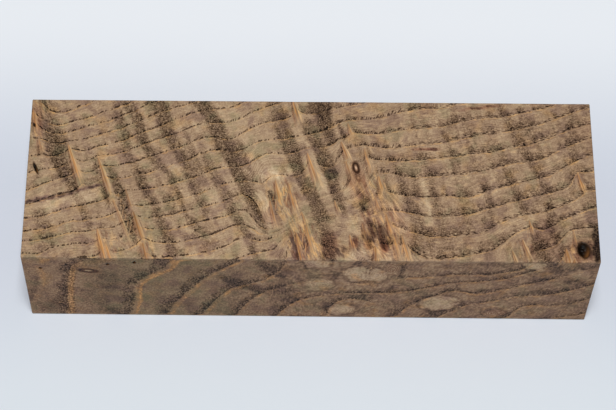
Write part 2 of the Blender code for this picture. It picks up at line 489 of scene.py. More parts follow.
# Curl bands of the top. Each point is (x, y, half width in mm, strength).
CURL_BANDS = (
    ((-62.5, 21, 1.2, 0.4), (-61, 15, 1.6, 0.5), (-59.3, 10, 2.2, 0.85), (-57.8, 4, 1.8, 0.9),
     (-56.3, 0.9, 1.5, 0.85), (-54.8, -1.8, 1.1, 0.7), (-52.9, -7, 0.8, 0.45), (-49.8, -13, 0.7, 0.5)),
    ((-45.5, 20, 0.9, 0.3), (-44.5, 15, 1, 0.6), (-42.7, 11, 1, 0.6), (-42.3, 6, 0.9, 0.5),
     (-40.4, 3, 1, 0.5), (-38.5, -1.7, 1.2, 0.75), (-36.2, -6.3, 1, 0.45), (-34.9, -8.9, 1, 0.6),
     (-33.8, -12.3, 1.1, 0.65), (-32.6, -15.4, 1.1, 0.65), (-31, -20, 1, 0.3)),
    ((-43.4, 21, 1, 0.75), (-40.4, 15.6, 1.2, 0.85), (-38.9, 10, 1.2, 0.8), (-37.3, 7, 1.1, 0.65),
     (-35.8, 4.3, 1.1, 0.6), (-32.6, 0.6, 0.8, 0.65), (-31, -3.2, 0.9, 0.5), (-29.2, -7.8, 0.6, 0.6),
     (-28.4, -10.4, 0.8, 0.5), (-25.2, -13.8, 1.2, 0.6), (-23, -19, 1, 0.35)),
    ((-37, 21, 1.3, 0.7), (-35.1, 19, 1.7, 0.9), (-34.1, 15.5, 1.6, 0.85), (-33.4, 12.5, 1.5, 0.7),
     (-31.5, 9.3, 1.5, 0.8), (-30, 6.2, 1.3, 0.75), (-28.3, 2.4, 1.1, 0.6), (-26.7, -2.1, 1.2, 0.55),
     (-23.7, -8.9, 0.9, 0.4)),
    ((-32.5, -5, 0.9, 0.45), (-31.5, -9, 0.7, 0.3)),
    ((-29.5, 13, 0.6, 0.3), (-28.6, 10, 0.7, 0.55), (-26, 2.8, 1.1, 0.5), (-24, -2, 0.8, 0.3)),
    ((-24.5, 6, 0.8, 0.3), (-23.7, 4, 1, 0.35), (-21.8, 0.2, 1.1, 0.5), (-19.9, -3.6, 1.2, 0.55),
     (-18.4, -7.4, 1.2, 0.65), (-16.5, -11.2, 1.2, 0.65), (-13.9, -16, 1.1, 0.5), (-12.5, -21, 1, 0.4)),
    ((-27, 21, 1.7, 1), (-25.2, 19.5, 1.6, 1), (-23.7, 17, 1.6, 1), (-22.2, 13.8, 1.7, 1),
     (-20.7, 10, 1.6, 1), (-18.4, 6.2, 1.7, 1), (-17.3, 1.7, 1.2, 0.95), (-15.8, -1.3, 1.1, 0.95),
     (-13.6, -6, 1, 0.95), (-11.8, -10.5, 0.8, 0.85), (-10.3, -14, 0.5, 0.6)),
    ((-17, 9, 1.2, 0.5), (-15.5, 3, 1.5, 0.5), (-13, -3, 1, 0.4)),
    ((-8.5, 21, 1.4, 0.5), (-7.3, 17, 1.6, 0.55), (-6.8, 13, 1.6, 0.5), (-5, 8.5, 1.8, 0.8),
     (-3.8, 5, 1.6, 0.85), (-3, 1.5, 1.2, 0.85), (-2, -2, 0.9, 0.85), (0.1, -6, 0.9, 0.8),
     (1.7, -10.4, 1.3, 0.8)),
    ((-1, 15, 1.2, 0.6), (-0.3, 13, 1.2, 0.7), (1.2, 9.5, 1.3, 0.8), (2.5, 6.5, 1.4, 0.85),
     (3.8, 3, 1.6, 0.95), (4.7, 0.8, 1.3, 0.9), (5.6, -3.5, 1, 0.8), (6.2, -7.5, 0.8, 0.6)),
    ((0.9, 21, 1.2, 0.9), (0.5, 18.5, 1.2, 0.8)),
    ((2.8, 21, 1.8, 1), (2.6, 18.5, 2, 1), (2.9, 15, 1.6, 0.95), (4, 12, 1.3, 0.9), (4.7, 10, 1, 0.7)),
    ((6.2, 15.5, 0.4, 0.9), (7.6, 10.5, 0.4, 0.8)),
    ((-0.8, -0.2, 0.7, 0.75), (0.5, -3, 0.7, 0.75), (1.9, -6.5, 0.8, 0.7), (3.4, -10, 1, 0.6)),
    ((11, 8.5, 0.35, 0.6), (12.5, 2, 0.35, 0.4)),
    ((2, -9.5, 1.3, 0.5), (2.6, -12, 1.4, 0.6), (3.8, -16, 1.5, 0.95), (4.2, -21, 1.5, 1)),
    ((6.8, -4, 0.8, 0.55), (7.4, -9, 0.8, 0.5)),
    ((20, 4, 1.2, 0.35), (21.7, -3.2, 1, 0.7), (23, -8, 1.2, 0.85), (24.2, -12.7, 1.3, 0.8),
     (23.2, -18.4, 1.3, 0.8)),
    ((24.5, 8, 1, 0.3), (23.7, -3.4, 0.9, 0.5)),
    ((26.7, 6.2, 0.9, 0.4), (27.4, -2.1, 1, 0.45), (28.8, -7.4, 1.3, 0.65), (30.1, -12.7, 1.4, 0.7),
     (30.8, -17, 1.2, 0.45)),
    ((27.2, -13.1, 0.9, 0.5), (26.5, -18, 1, 0.4)),
    ((32.8, 20, 1, 0.4), (33.5, 16.5, 1.2, 0.55), (30.5, 12.3, 0.9, 0.35), (32.4, 7.4, 0.9, 0.4),
     (33.5, 0, 0.9, 0.3), (34.6, -8.5, 1, 0.4), (35.8, -12.7, 1.2, 0.45)),
    ((35, 17, 0.8, 0.4), (36.1, 12.6, 0.9, 0.45), (37, 5, 0.9, 0.35), (40.3, -5.3, 1.2, 0.4),
     (40, -11.4, 1.4, 0.6)),
    ((43.6, 21, 1, 0.6), (44.6, 19, 1.1, 0.6), (46.3, 15.5, 1.4, 0.75), (47.8, 11, 1.4, 0.75),
     (49.4, 7.2, 1.3, 0.75), (51.3, 3.4, 1.1, 0.6), (52.8, -0.8, 0.8, 0.65), (54.3, -4.9, 0.9, 0.45),
     (54.2, -10.2, 1, 0.7), (55, -14.5, 1, 0.8), (56.8, -18, 1, 0.6)),
    ((40.3, 16.3, 0.8, 0.35), (41.8, 10.2, 0.8, 0.5), (43.7, 7.2, 0.9, 0.75), (45.2, 1.5, 1, 0.75),
     (47.1, -3.4, 1, 0.75), (48.6, -6.8, 1, 0.7)),
    ((48.8, 19, 0.9, 0.35), (49.4, 15.5, 1.1, 0.5), (51.3, 11.7, 1, 0.6), (53.2, 8, 0.8, 0.35)),
    ((51.6, 17, 0.9, 0.45), (53.2, 12.5, 0.9, 0.45)),
    ((50.5, 0, 0.7, 0.3), (52.4, -5.3, 1, 0.6)),
    ((61, 17, 1.2, 0.35), (59.2, 6, 1.2, 0.35), (59.6, -3, 0.8, 0.55)),
    ((50.3, -12, 0.8, 0.6), (50.9, -14.8, 1.1, 0.9), (51.4, -18.2, 1.6, 0.95), (52.5, -21, 1.6, 0.8)),
    ((-46, 2.5, 0.6, 0.6), (-45.2, 0, 0.9, 0.85), (-43.2, -5, 1, 1), (-42.2, -9, 1, 1),
     (-40.8, -13, 0.8, 0.95), (-39.4, -17, 0.5, 0.7)),
    ((-50, 5, 0.4, 0.6), (-48.7, 0, 0.5, 0.6), (-46.8, -5, 0.5, 0.7), (-46, -8, 0.4, 0.4)),
    ((-61.6, -10, 1.5, 0.4), (-60, -13, 1.6, 0.5), (-59, -18.4, 1.6, 0.4)),
    ((12.2, -5.5, 1.1, 0.4), (12, -7.5, 0.9, 0.5)),
)

# Pips of the top: (tip x, tip y, root x, root y, half width, strength).
TOP_PIPS = (
    (-55.9, 8.4, -52.3, -2, 0.9, 1), (-48.9, 5, -45.2, -5.5, 0.7, 1), (-45.6, -4.5, -40.5, -17, 0.5, 0.7),
    (-42.3, -3, -40.3, -9, 0.5, 0.8), (-40.9, -7, -36.8, -19, 1, 1), (-38.6, -14, -36, -23, 1, 0.9),
    (-48.2, -13.5, -45.4, -23, 0.8, 1), (-46.8, -15.5, -43.8, -24, 0.7, 1),
    (-64.6, 18, -63.4, 12, 0.7, 0.9), (-63.2, 20.5, -61.8, 16, 0.6, 0.6), (-62.8, 10, -61.5, 6, 0.8, 0.6),
    (-4.4, 21.5, -2.6, 15, 0.9, 1), (-0.9, 6.8, 1.8, -1.5, 0.9, 1), (6.9, 10, 8.9, 4.5, 0.8, 1),
    (7.6, 6, 9.2, 0.5, 0.6, 0.8), (12.2, 8.3, 13.8, 2, 0.7, 0.8), (8.5, 15, 9.6, 11.2, 0.6, 0.8),
    (-8.2, -0.4, -6.8, -7, 0.8, 0.9), (-5.2, -1.2, -3.4, -9, 0.8, 0.9), (-9.4, -5.6, -8, -12, 0.6, 1),
    (-2.3, -8.3, -1, -12, 0.4, 1), (-1.4, -10.5, 0.6, -20, 0.8, 0.9), (-3.4, -14, -1.6, -24, 0.7, 0.9),
    (5.3, -5.6, 6.4, -9, 0.5, 0.8), (15.4, 1, 16.6, -3.4, 0.9, 0.9), (14.6, -4.6, 15.6, -8.5, 0.5, 0.7),
    (17, -9, 18.6, -16, 0.7, 0.9), (18.2, -12, 20, -21, 0.8, 0.8), (8.7, -14.5, 9.6, -18.5, 0.6, 0.9),
    (11.6, -11.5, 12.6, -15, 0.7, 0.7), (14.4, -17.3, 14.8, -23, 0.8, 0.9),
    (20.4, -14.5, 22.4, -22, 0.8, 0.9), (49.4, -10.3, 50.3, -14, 0.5, 1), (47.6, -15.2, 49, -20, 0.6, 1),
    (45.2, -18, 46.4, -22, 0.5, 0.8), (61.1, 2.4, 62.6, -2.8, 0.6, 1), (59.2, -12.5, 60, -17, 0.5, 0.7),
    (57.4, -17.5, 58.6, -23, 0.8, 1), (58.6, -19, 60.4, -24, 0.7, 0.9),
)

# Knots of the top and of the front: (x, y, half width, half length, turn, openness).
TOP_KNOTS = (
    (10.2, 3, 0.62, 1.3, 14, 0.3), (10.7, 0.3, 0.5, 0.75, 14, 0.1), (61.3, -17.9, 1.35, 1.95, 14, 1),
    (-63.1, 2.2, 0.3, 1.5, 22, 1), (-64.1, 13.6, 0.26, 0.5, 20, 1),
)
FRONT_KNOTS = (
    (-61, 23.2, 0.34, 0.34, 0, 1), (-45.7, 25.4, 0.38, 0.38, 0, 1), (-39.7, 26.3, 0.38, 0.38, 0, 1),
    (-55, 25, 0.30, 0.35, 0, 1), (-50.3, 22.2, 1.75, 0.75, -10, 0.3),
)

# Pale eyes of the front: (x, z, half width, half height, turn, strength).
FRONT_EYES = (
    (30, 8, 4.2, 4, 10, 1), (7.5, 4, 3.2, 2.6, 0, 0.9), (10.3, 22, 2.9, 3.6, 10, 1),
    (15, 21.3, 2.3, 3.3, -8, 0.95), (2, 16.5, 3.4, 3, 0, 0.75), (1.5, 27, 3, 2.6, 0, 0.9),
    (50.5, 26.6, 3, 2, -30, 0.9), (21, 15, 2.4, 1.6, 0, 0.35), (-40.5, 14.5, 1, 2.6, 0, 0.4),
    (61, 23, 2.6, 2.4, 0, 0.5), (37, 16, 3, 2.2, 0, 0.4), (-50.3, 22, 3, 2, 0, -0.5),
    (43.5, 3, 2.8, 1.9, 0, -1), (18.5, 24.5, 1.8, 3.2, 0, -0.8),
)

# Dark patches of the front: (x, z, half width, half height, turn, strength).
FRONT_PATCHES = (
    (-9, 23.5, 1.6, 5, 38, 0.8), (-6, 12, 3.6, 3.6, 0, 0.6), (5, 21, 1.5, 2.6, 0, 0.6),
    (13, 10.5, 2.6, 1.5, 0, 0.5), (29, 2.5, 2.6, 1.6, 30, 0.5), (42, 28, 5, 1.6, 0, 0.6),
    (33, 26, 4, 1.4, 0, 0.4), (55.5, 25, 1.6, 2.2, 0, 0.6), (60.5, 19, 3, 1.6, -20, 0.6),
    (54, 14, 2.4, 1.6, -20, 0.6), (-45.5, 2.5, 1.6, 1.6, 0, 0.5), (22, 14.5, 3.5, 1.2, -15, 0.4),
    (-46, 17, 2.5, 4, 0, 0.35), (-16.5, 17, 5, 1.5, -38, 1.2), (-61, 8, 3, 7, 0, 0.35),
    (-50, 8, 3.5, 6, 0, 0.25), (20.8, 24.4, 0.55, 3.9, -6, 1.1),
)

# Stains of the top: (x, y, half width, half length, turn, rust, mauve, pale), the last three from 0 to 1.
TOP_STAINS = (
    (-59.5, -5.7, 5.6, 0.5, 13, 0, 0.9, 0), (-50.8, -3, 3.4, 0.4, 16, 0, 0.9, 0),
    (26.3, 8.2, 3, 0.4, -2, 0.8, 0.4, 0), (39.5, 19.6, 4.8, 0.4, 8, 0.7, 0.3, 0),
    (-55, -6.6, 6, 1.2, 14, 0, 0, 0.9), (10.6, -1, 2.2, 4.5, 10, 0.5, 0, 0.2),
    (4, -17.5, 1.8, 3.5, 0, 0.5, 0.6, 0), (-2.6, -18, 1.8, 3.2, 12, 0, 0.9, 0),
    (9.8, -16.5, 0.8, 1.3, 0, 0.9, 0.5, 0), (12.8, -17, 0.9, 1.2, 0, 0.9, 0.5, 0),
    (16.5, -17.5, 0.9, 1.4, 0, 0.9, 0.5, 0), (15.5, -12, 3.4, 8, 8, 0.35, 0, 0.1),
    (40.5, -12, 1.5, 1.6, 0, 0, 0.7, 0), (63.5, -9.5, 1.8, 1.8, 0, 0, 0.7, 0), (-9, 1, 3, 2, 0, 0, 0, 0.8),
    (-50.6, -4.6, 3.2, 1.3, 8, 0, 0, 1), (-60, -6, 4, 1, -70, 0, 0, 0.5),
    (61, -18, 2.8, 3, 14, 0.5, 0.2, 0.4), (15, -20, 6.5, 1.6, 0, 0, 0, 0.6),
    (1.8, -1.5, 1.6, 3.5, 20, 0, 0, 0.7), (8, -3, 1.8, 3, 15, 0, 0, 0.5), (-12, 5, 4, 3, 0, 0, 0, 0.35),
    (63, 13.5, 3, 3, 0, 0.15, 0, 0.2), (-63.5, 15, 1, 4, 10, 0.5, 0, 0),
    (-46.8, -19, 1.6, 3, 15, 0.3, 0, 0.3), (53, -15, 2.6, 5, 10, 0.2, 0.35, 0),
    (26.4, -6, 0.35, 13, 8, 0, 0, 0.8), (29.2, 17.5, 0.35, 3.5, 8, 0, 0, 0.6),
    (-41, 16, 0.4, 4.5, 22, 0, 0, 0.7), (-28.8, -11, 0.4, 5, 18, 0, 0, 0.7),
    (-7, 1.6, 3.6, 1.3, 0, 0, 0, 0.9), (-9.6, -9, 0.8, 4, 10, 0, 0, 0.9),
    (20.5, -13, 2, 6, 12, 0.2, 0, 0.4), (12, -20, 6, 1.4, 0, 0, 0, 0.7), (10.5, -12, 2, 2.4, 0, 0, 0, 0.6),
)

# Parts of the top where the growth rings fade: (x, y, half width, half length, turn, how much).
RING_FADES = (
    (6, -13, 11, 8.5, 0, 0.85), (-5, -8, 6, 8, 10, 0.7), (13, -1, 3.5, 5, 10, 0.7), (2, 2, 4.5, 8, 20, 0.4),
    (48, -19, 3.5, 3, 0, 0.6), (61, -17, 4, 4, 0, 0.8), (-46, -18, 2.5, 5, 15, 0.6),
    (-50, 0, 2, 6, 18, 0.5), (11, 4, 2, 4.5, 14, 0.7),
)

# Parts of the front where the growth rings fade: (x, z, half width, half height, turn, how much).
FRONT_FADES = (
    (4, 25, 10, 5, 0, 0.9), (14.5, 4, 4.5, 5, 0, 0.8), (-3, 16, 4, 3, 0, 0.5), (58, 25.5, 8, 3.5, -15, 0.6),
    (-48, 25, 5, 3, 0, 0.6), (11.5, 19.4, 8.5, 2, 0, 0.9),
)

# Parts of the top with little mottle: (x, y, half width, half length, turn, how much).
CLEAR_PATCHES = (
    (-58, -12, 7, 8, 18, 1.5), (-15, 12, 5, 10, 25, 1.5), (-10, 0, 4, 4, 0, 2), (16, 14, 6, 6, 0, 1.5),
    (36, 16, 8, 4, 0, 0.5), (-27, 17, 5, 4, 20, 0.8), (60, 5, 6, 8, 15, 0.5),
)

# Burl growth of the top: (x, y, half width, half length, turn, burl, olive, shadow).
BURL_GROWTH = (
    (-6.3, -5.5, 2.8, 5.5, 12, 1.2, 0.15, 0), (-1.2, -17, 3.6, 5.5, 12, 1.2, 0, 0.1),
    (-3.6, -17.5, 1.2, 3.5, 12, 0.3, 0, 0.7), (15.5, -13, 4.6, 8, 10, 0.9, 0, 0),
    (14.5, -1, 2.5, 4, 12, 0.7, 0, 0), (10.5, -2, 1.8, 3.5, 10, 0.5, 0, 0),
    (-45.5, -18.5, 2.6, 4.5, 15, 0.7, 0, 0), (-37.5, -17, 1.8, 5, 15, 0.8, 0, 0),
    (59, -19.5, 3, 2.4, 0, 0.9, 0, 0), (48, -18.5, 2.2, 3, 14, 0.7, 0, 0), (61.8, 0, 1, 2.8, 14, 0.6, 0, 0),
    (-63.8, 14, 1.2, 5.5, 10, 0.7, 0, 0.2), (4.6, 1.2, 1.5, 1.3, 0, 0, 1, 0.4),
    (12.6, -16, 1.2, 2, 15, 0, 0, 1), (16.4, -15.4, 1.3, 2.8, 15, 0, 0, 1.1),
    (9.9, -17, 0.9, 1.8, 10, 0, 0, 1.1), (13.6, -12.8, 1.8, 2.4, 20, 0, 0, 1),
    (12.4, -3.9, 1.1, 0.6, 0, 0, 0.2, 0.55), (11.8, -8, 0.9, 0.8, 0, 0, 0.3, 0.6),
    (3.2, 18.3, 2.2, 3.2, 12, 0, 0, 0.4), (7, -18.8, 1.4, 1.4, 0, 0.2, 0, 0.8),
    (12, -6.5, 1.2, 2, 0, 0, 0.5, 0.1), (-59.5, -5.7, 5.6, 0.4, 13, 0, 0, 1.1),
    (-50.8, -3, 3.4, 0.35, 16, 0, 0, 0.8), (26.3, 8.2, 3, 0.3, -2, 0, 0, 1),
    (39.5, 19.6, 4.8, 0.3, 8, 0, 0, 0.7), (63.6, -17, 1.2, 3.5, 0, 0.2, 0, 0.5),
    (-8.9, -4.5, 0.5, 1.2, 14, 0, 0.8, 0.7),
)

# Folds of the top, where the fibres dip steeply: (x, y, half width, half length, turn, drop in mm).
FOLDS = (
    (-11.3, -7, 2.8, 6.5, 12, -2), (18.6, -8, 2.8, 6.5, 14, 7), (-14, 4, 3, 5, 20, -3),
    (-7, 3.5, 3.6, 3.4, 10, 0),
)


class Face(Enum):
    """The faces that carry a figure. A face below 0 shows its opposite's figure turned round."""

    TOP = 1
    BOTTOM = -1
    FRONT = 2
    BACK = -2


FLAT_FACES = (Face.TOP, Face.BOTTOM)
UPRIGHT_FACES = (Face.FRONT, Face.BACK)


@dataclass(frozen=True)
class BarkPocket:
    """The ragged pocket of bark where the top meets the right end, with its sizes in mm."""

    start: float = 63.0
    full: float = 63.7
    middle_y: float = -15.9
    half_length: float = 4.9
    drop: float = 3.6
    raggedness: float = 1.3
    rim_raggedness: float = 0.2
    coarse_waves: Waves = Waves(2.6, 5)
    fine_waves: Waves = Waves(0.9, 6)

    def share(self, points: Array, below_top: Array) -> Array:
        """How much of bark each point is. The pocket is half an ellipse that hangs from the end's top edge.

        Args:
            points: positions in mm, one row each.
            below_top: how far each point lies below the top face, in mm.

        Returns:
            Shares from 0 to 1.
        """
        torn = 0.45 * self.coarse_waves.at(points) + 0.25 * self.fine_waves.at(points)
        along = (points[:, 1] - self.middle_y) / self.half_length
        far = np.hypot(along, below_top / self.drop) + torn * self.rim_raggedness
        inwards = smoothstep(self.start, self.full, points[:, 0] + torn * self.raggedness)
        return inwards * smoothstep(1.1, 0.9, far)


@dataclass
class Figure:
    """The wood's figure at every point of the surface, kept as vector attributes of the mesh.

    The bottom carries the top's figure turned half round, and the back the front's, because the photograph
    shows only the top and the front. The growth rings run through the whole block. Lengths are in mm, and a
    pair of numbers is where a soft step starts and ends.
    """

    block: SawnBlock
    rings: GrowthRings
    bark: BarkPocket = BarkPocket()
    edge_fade: float = 1.0
    ring_spacing: float = 4.2
    spacing_range: Pair = (1.5, 16.0)
    band_width: float = 1.12
    oval_fade: Pair = (1.5, 0.6)
    pip_reach: Pair = (2.2, 0.75)
    pip_middle: float = 0.45
    pip_pull: float = 0.55
    pip_pull_reach: float = 1.3
    pip_pull_root: Pair = (-0.5, 0.3)
    pip_pull_tip: Pair = (1.3, 0.75)
    fold_sides: Pair = (1.6, 0.4)
    fold_ends: Pair = (1.4, 0.7)
    knot_reach: float = 2.4
    eye_reach: float = 1.5
    mottle: float = 0.42
    mottle_clearing: float = 0.1
    end_curl: float = 0.7
    end_curl_span: Pair = (0.1, 0.7)
    end_waves: Waves = Waves(7.0, 21)
    end_fade: float = 0.5
    front_left_fade: float = 0.8
    front_left_edge: Pair = (-60.0, -62.5)
    points: Array = field(init=False)
    shares: dict[Face, Array] = field(init=False)
    places: dict[Face, tuple[Array, Array]] = field(init=False)

    def __post_init__(self) -> None:
        """Finds each face's share of every point, which fades over the edges, and the places on it."""
        self.points = self.block.points
        x, y, z = self.points.T
        top = smoothstep(self.edge_fade, 0.0, self.block.height(x) - z)
        bottom = smoothstep(self.edge_fade, 0.0, z) * (1.0 - top)
        rest = 1.0 - top - bottom
        front = smoothstep(self.edge_fade, 0.0, y - self.block.front_y) * rest
        back = smoothstep(self.edge_fade, 0.0, self.block.front_y + self.block.width(x) - y) * rest
        self.shares = {Face.TOP: top, Face.BOTTOM: bottom, Face.FRONT: front, Face.BACK: back}
        self.places = {Face.TOP: (x, y), Face.BOTTOM: (-x, -y), Face.FRONT: (x, z), Face.BACK: (-x, z)}

    def joined(self, faces: tuple[Face, Face], work: Callable[..., Array], *details: Any) -> Array:
        """The sum over two opposite faces of the face's share times what the work gives there.

        Args:
            faces: the two faces.
            work: a method that takes the two coordinates on a face, and then the details.
            details: what else the work takes.

        Returns:
            One number for each point.
        """
        return sum(self.shares[face] * work(*self.places[face], *details) for face in faces)

    def nearer(self, faces: tuple[Face, Face], work: Callable[..., Array], *details: Any) -> Array:
        """What the work gives on the nearer of two opposite faces, its third value times that face's share.

        Args:
            faces: the two faces.
            work: a method that takes the two coordinates on a face, and then the details.
            details: what else the work takes.

        Returns:
            Rows of three numbers.
        """
        first, second = (self.shares[face] for face in faces)
        found = [work(*self.places[face], *details) for face in faces]
        rows = np.where((first >= second)[:, None], found[0], found[1])
        rows[:, 2] *= np.maximum(first, second)
        return rows

    def curl(self, x: Array, y: Array) -> Array:
        """How strong the curl bands of the top are.

        Each band is a flat bell, e^(-(d/w)^6), of the distance d to its path, and the bands join as
        1 - product(1 - band).

        Args:
            x: distances along the block in mm.
            y: distances across it in mm.

        Returns:
            Strengths from 0 to 1.
        """
        clear = np.ones_like(x)
        for band in CURL_BANDS:
            best = np.zeros_like(x)
            for (x0, y0, w0, s0), (x1, y1, w1, s1) in zip(band[:-1], band[1:]):
                along, up = x1 - x0, y1 - y0
                t = np.clip(((x - x0) * along + (y - y0) * up) / (along**2 + up**2), 0.0, 1.0)
                away = np.hypot(x - x0 - t * along, y - y0 - t * up)
                half = (w0 + t * (w1 - w0)) * self.band_width
                best = np.maximum(best, (s0 + t * (s1 - s0)) * np.exp(-((away / half) ** 6)))
            clear *= 1.0 - best
        return 1.0 - clear

    def ovals(self, x: Array, y: Array, shapes: Sequence[tuple[float, ...]], column: int = 0) -> Array:
        """The sum of soft ovals, each 1 inside and fading to 0 a little outside its rim.

        Args:
            x: first coordinates on the face, in mm.
            y: second coordinates on the face, in mm.
            shapes: rows of (x, y, half width, half length, turn, values...).
            column: which of the values to use.

        Returns:
            The sum of the ovals, each times its value.
        """
        total = np.zeros_like(x)
        for shape in shapes:
            u, v = turned(x - shape[0], y - shape[1], shape[4])
            far = np.hypot(u / shape[2], v / shape[3])
            total += shape[5 + column] * smoothstep(*self.oval_fade, far)
        return total

    def along_pip(self, x: Array, y: Array, pip: tuple[float, ...]) -> tuple[Array, Array]:
        """Where each point lies by a pip.

        Args:
            x: distances along the block in mm.
            y: distances across it in mm.
            pip: the pip's row of the table.

        Returns:
            How far it lies across the pip's axis in mm, and how far along it: 0 at its root, 1 at its tip.
        """
        tip_x, tip_y, root_x, root_y = pip[:4]
        along, up = tip_x - root_x, tip_y - root_y
        length = math.hypot(along, up)
        across = ((x - root_x) * up - (y - root_y) * along) / length
        return across, ((x - root_x) * along + (y - root_y) * up) / length**2

    def nearest_pip(self, x: Array, y: Array) -> Array:
        """The place in the nearest pip: across it in half widths, along it from root to tip, and strength.

        Args:
            x: distances along the block in mm.
            y: distances across it in mm.

        Returns:
            Rows of (across, along, strength). The strength is 0 away from the pip.
        """
        best = np.full(x.size, 1e9)
        second = best.copy()
        rows = np.zeros((x.size, 3))
        for pip in TOP_PIPS:
            half, strength = pip[4:]
            across, v = self.along_pip(x, y, pip)
            u = across / half
            far = np.maximum(np.abs(u) / self.pip_reach[0], np.abs(v - self.pip_middle) / self.pip_reach[1])
            near = far < best
            second = np.minimum(second, np.maximum(far, best))
            best = np.where(near, far, best)
            here = strength * smoothstep(1.0, 0.85, far)
            rows[near] = np.stack([u, v, here], axis=1)[near]
        rows[:, 2] *= smoothstep(0.0, 0.25, second - best)
        return rows

    def pip_lift(self, x: Array, y: Array) -> Array:
        """How far the pips draw the ring lines up towards their tips, in rings.

        Each pip lifts by its strength times e^(-|distance across| / reach), between its root and its tip.

        Args:
            x: distances along the block in mm.
            y: distances across it in mm.

        Returns:
            The lift in rings.
        """
        lift = np.zeros_like(x)
        for pip in TOP_PIPS:
            half, strength = pip[4:]
            across, v = self.along_pip(x, y, pip)
            window = smoothstep(*self.pip_pull_tip, v) * smoothstep(*self.pip_pull_root, v)
            pull = self.pip_pull * strength * half * np.exp(-np.abs(across) / self.pip_pull_reach)
            lift = np.maximum(lift, pull * window)
        return lift

    def nearest_oval(self, x: Array, y: Array, shapes: Sequence[tuple[float, ...]], reach: float) -> Array:
        """The place in the nearest knot or eye, measured in its half width and half length.

        Args:
            x: first coordinates on the face, in mm.
            y: second coordinates on the face, in mm.
            shapes: rows of (x, y, half width, half length, turn, value).
            reach: how many times its size an oval still counts.

        Returns:
            Rows of (across, along, value). The value is 0 out of reach.
        """
        best = np.full(x.size, 1e9)
        rows = np.zeros((x.size, 3))
        for centre_x, centre_y, half_width, half_length, turn, value in shapes:
            u, v = turned(x - centre_x, y - centre_y, turn)
            u, v = u / half_width, v / half_length
            far = np.hypot(u, v) / reach
            near = far < best
            best = np.where(near, far, best)
            rows[near] = np.stack([u, v, value * smoothstep(1.0, 0.9, far)], axis=1)[near]
        return rows

    def knots(self) -> Array:
        """The place in the nearest knot of the top or of the front.

        Returns:
            Rows of (across, along, openness).
        """
        top, front = self.shares[Face.TOP], self.shares[Face.FRONT]
        on_top = self.nearest_oval(*self.places[Face.TOP], TOP_KNOTS, self.knot_reach)
        on_front = self.nearest_oval(*self.places[Face.FRONT], FRONT_KNOTS, self.knot_reach)
        on_top[:, 2] *= top
        on_front[:, 2] *= front
        return np.where((front > 0.5)[:, None], on_front, on_top)

    def across(self, x: Array, y: Array) -> Array:
        """Where the radial line through each point crosses the middle of the block.

        The line x = c + lean(c) y is solved for c by putting the last c into lean a few times.

        Args:
            x: distances along the block in mm.
            y: distances across it in mm.

        Returns:
            The crossings c in mm.
        """
        crossing = x
        for _ in range(6):
            crossing = x - np.interp(crossing, LEAN_AT, LEAN) * y
        return crossing

    def spacing(self) -> Array:
        """How far apart the rings are on the surface: one over their growth along the face.

        Returns:
            Spacings in mm.
        """
        top, bottom, front, back = self.shares.values()
        slope = self.rings.slope(self.points) ** 2
        in_face = (top + bottom + front + back, 1.0 - front - back, 1.0 - top - bottom)
        steepness = np.sqrt(sum(slope[:, axis] * in_face[axis] for axis in range(3)))
        return np.clip(1.0 / np.maximum(steepness, 1e-3), *self.spacing_range)

    def folded(self, lamella: Array) -> tuple[Array, Array]:
        """Makes the fibres of the top dip where they fold.

        Args:
            lamella: how far each point lies across the fibres, in mm.

        Returns:
            The same with the folds' drop added, and how much of a fold each point is.
        """
        x, y = self.places[Face.TOP]
        folding = np.zeros_like(x)
        for fold_x, fold_y, half_width, half_length, turn, drop in FOLDS:
            u, v = turned(x - fold_x, y - fold_y, turn)
            window = self.shares[Face.TOP] * smoothstep(*self.fold_ends, np.abs(v) / half_length)
            lamella = lamella + drop * smoothstep(-half_width, half_width, u) * window
            folding += window * smoothstep(*self.fold_sides, np.abs(u) / half_width)
        return lamella, folding

    def dress(self, block: bpy.types.Object) -> None:
        """Works the figure out on the whole mesh and stores it, three numbers to an attribute.

        Args:
            block: the block's object, whose points are those last placed.
        """
        x, y, z = self.points.T
        top, bottom, front, back = self.shares.values()
        ends = 1.0 - top - bottom - front - back
        ring = self.rings.at(self.points) - self.joined(FLAT_FACES, self.pip_lift)
        lamella, folding = self.folded(ring * self.ring_spacing)
        curl = self.joined(FLAT_FACES, self.curl) + self.joined(UPRIGHT_FACES, self.ovals, FRONT_PATCHES)
        curl += self.end_curl * ends * smoothstep(*self.end_curl_span, self.end_waves.at(self.points))
        front_fade = self.front_left_fade * smoothstep(*self.front_left_edge, x)
        front_fade += self.ovals(x, z, FRONT_FADES)
        fade = self.joined(FLAT_FACES, self.ovals, RING_FADES) + front * front_fade + ends * self.end_fade
        clearing = np.clip(self.ovals(x, y, CLEAR_PATCHES), 0, 2) * top
        stain = np.array([self.joined(FLAT_FACES, self.ovals, TOP_STAINS, n) for n in range(3)])
        growth = np.array([self.joined(FLAT_FACES, self.ovals, BURL_GROWTH, n) for n in range(3)])
        bark = self.bark.share(self.points, self.block.height(x) - z)
        attributes = {
            "grain": (ring, self.across(x, y), lamella),
            "figure": (np.clip(curl, 0, 1), np.clip(1 - fade, 0, 1), folding),
            "pip": self.nearer(FLAT_FACES, self.nearest_pip).T,
            "knot": self.knots().T,
            "eye": self.nearer(UPRIGHT_FACES, self.nearest_oval, FRONT_EYES, self.eye_reach).T,
            "stain": np.clip(stain, 0, 1),
            "growth": np.clip(growth, 0, 1.2),
            "spacing": [self.spacing()] * 3,
            "place": (1.0 - top - bottom, bark, self.mottle - self.mottle_clearing * clearing),
        }
        for name, numbers in attributes.items():
            attribute = block.data.attributes.new(name, "FLOAT_VECTOR", "POINT")
            attribute.data.foreach_set("vector", np.stack(list(numbers), axis=1).astype(np.float32).ravel())


# Shader maths.


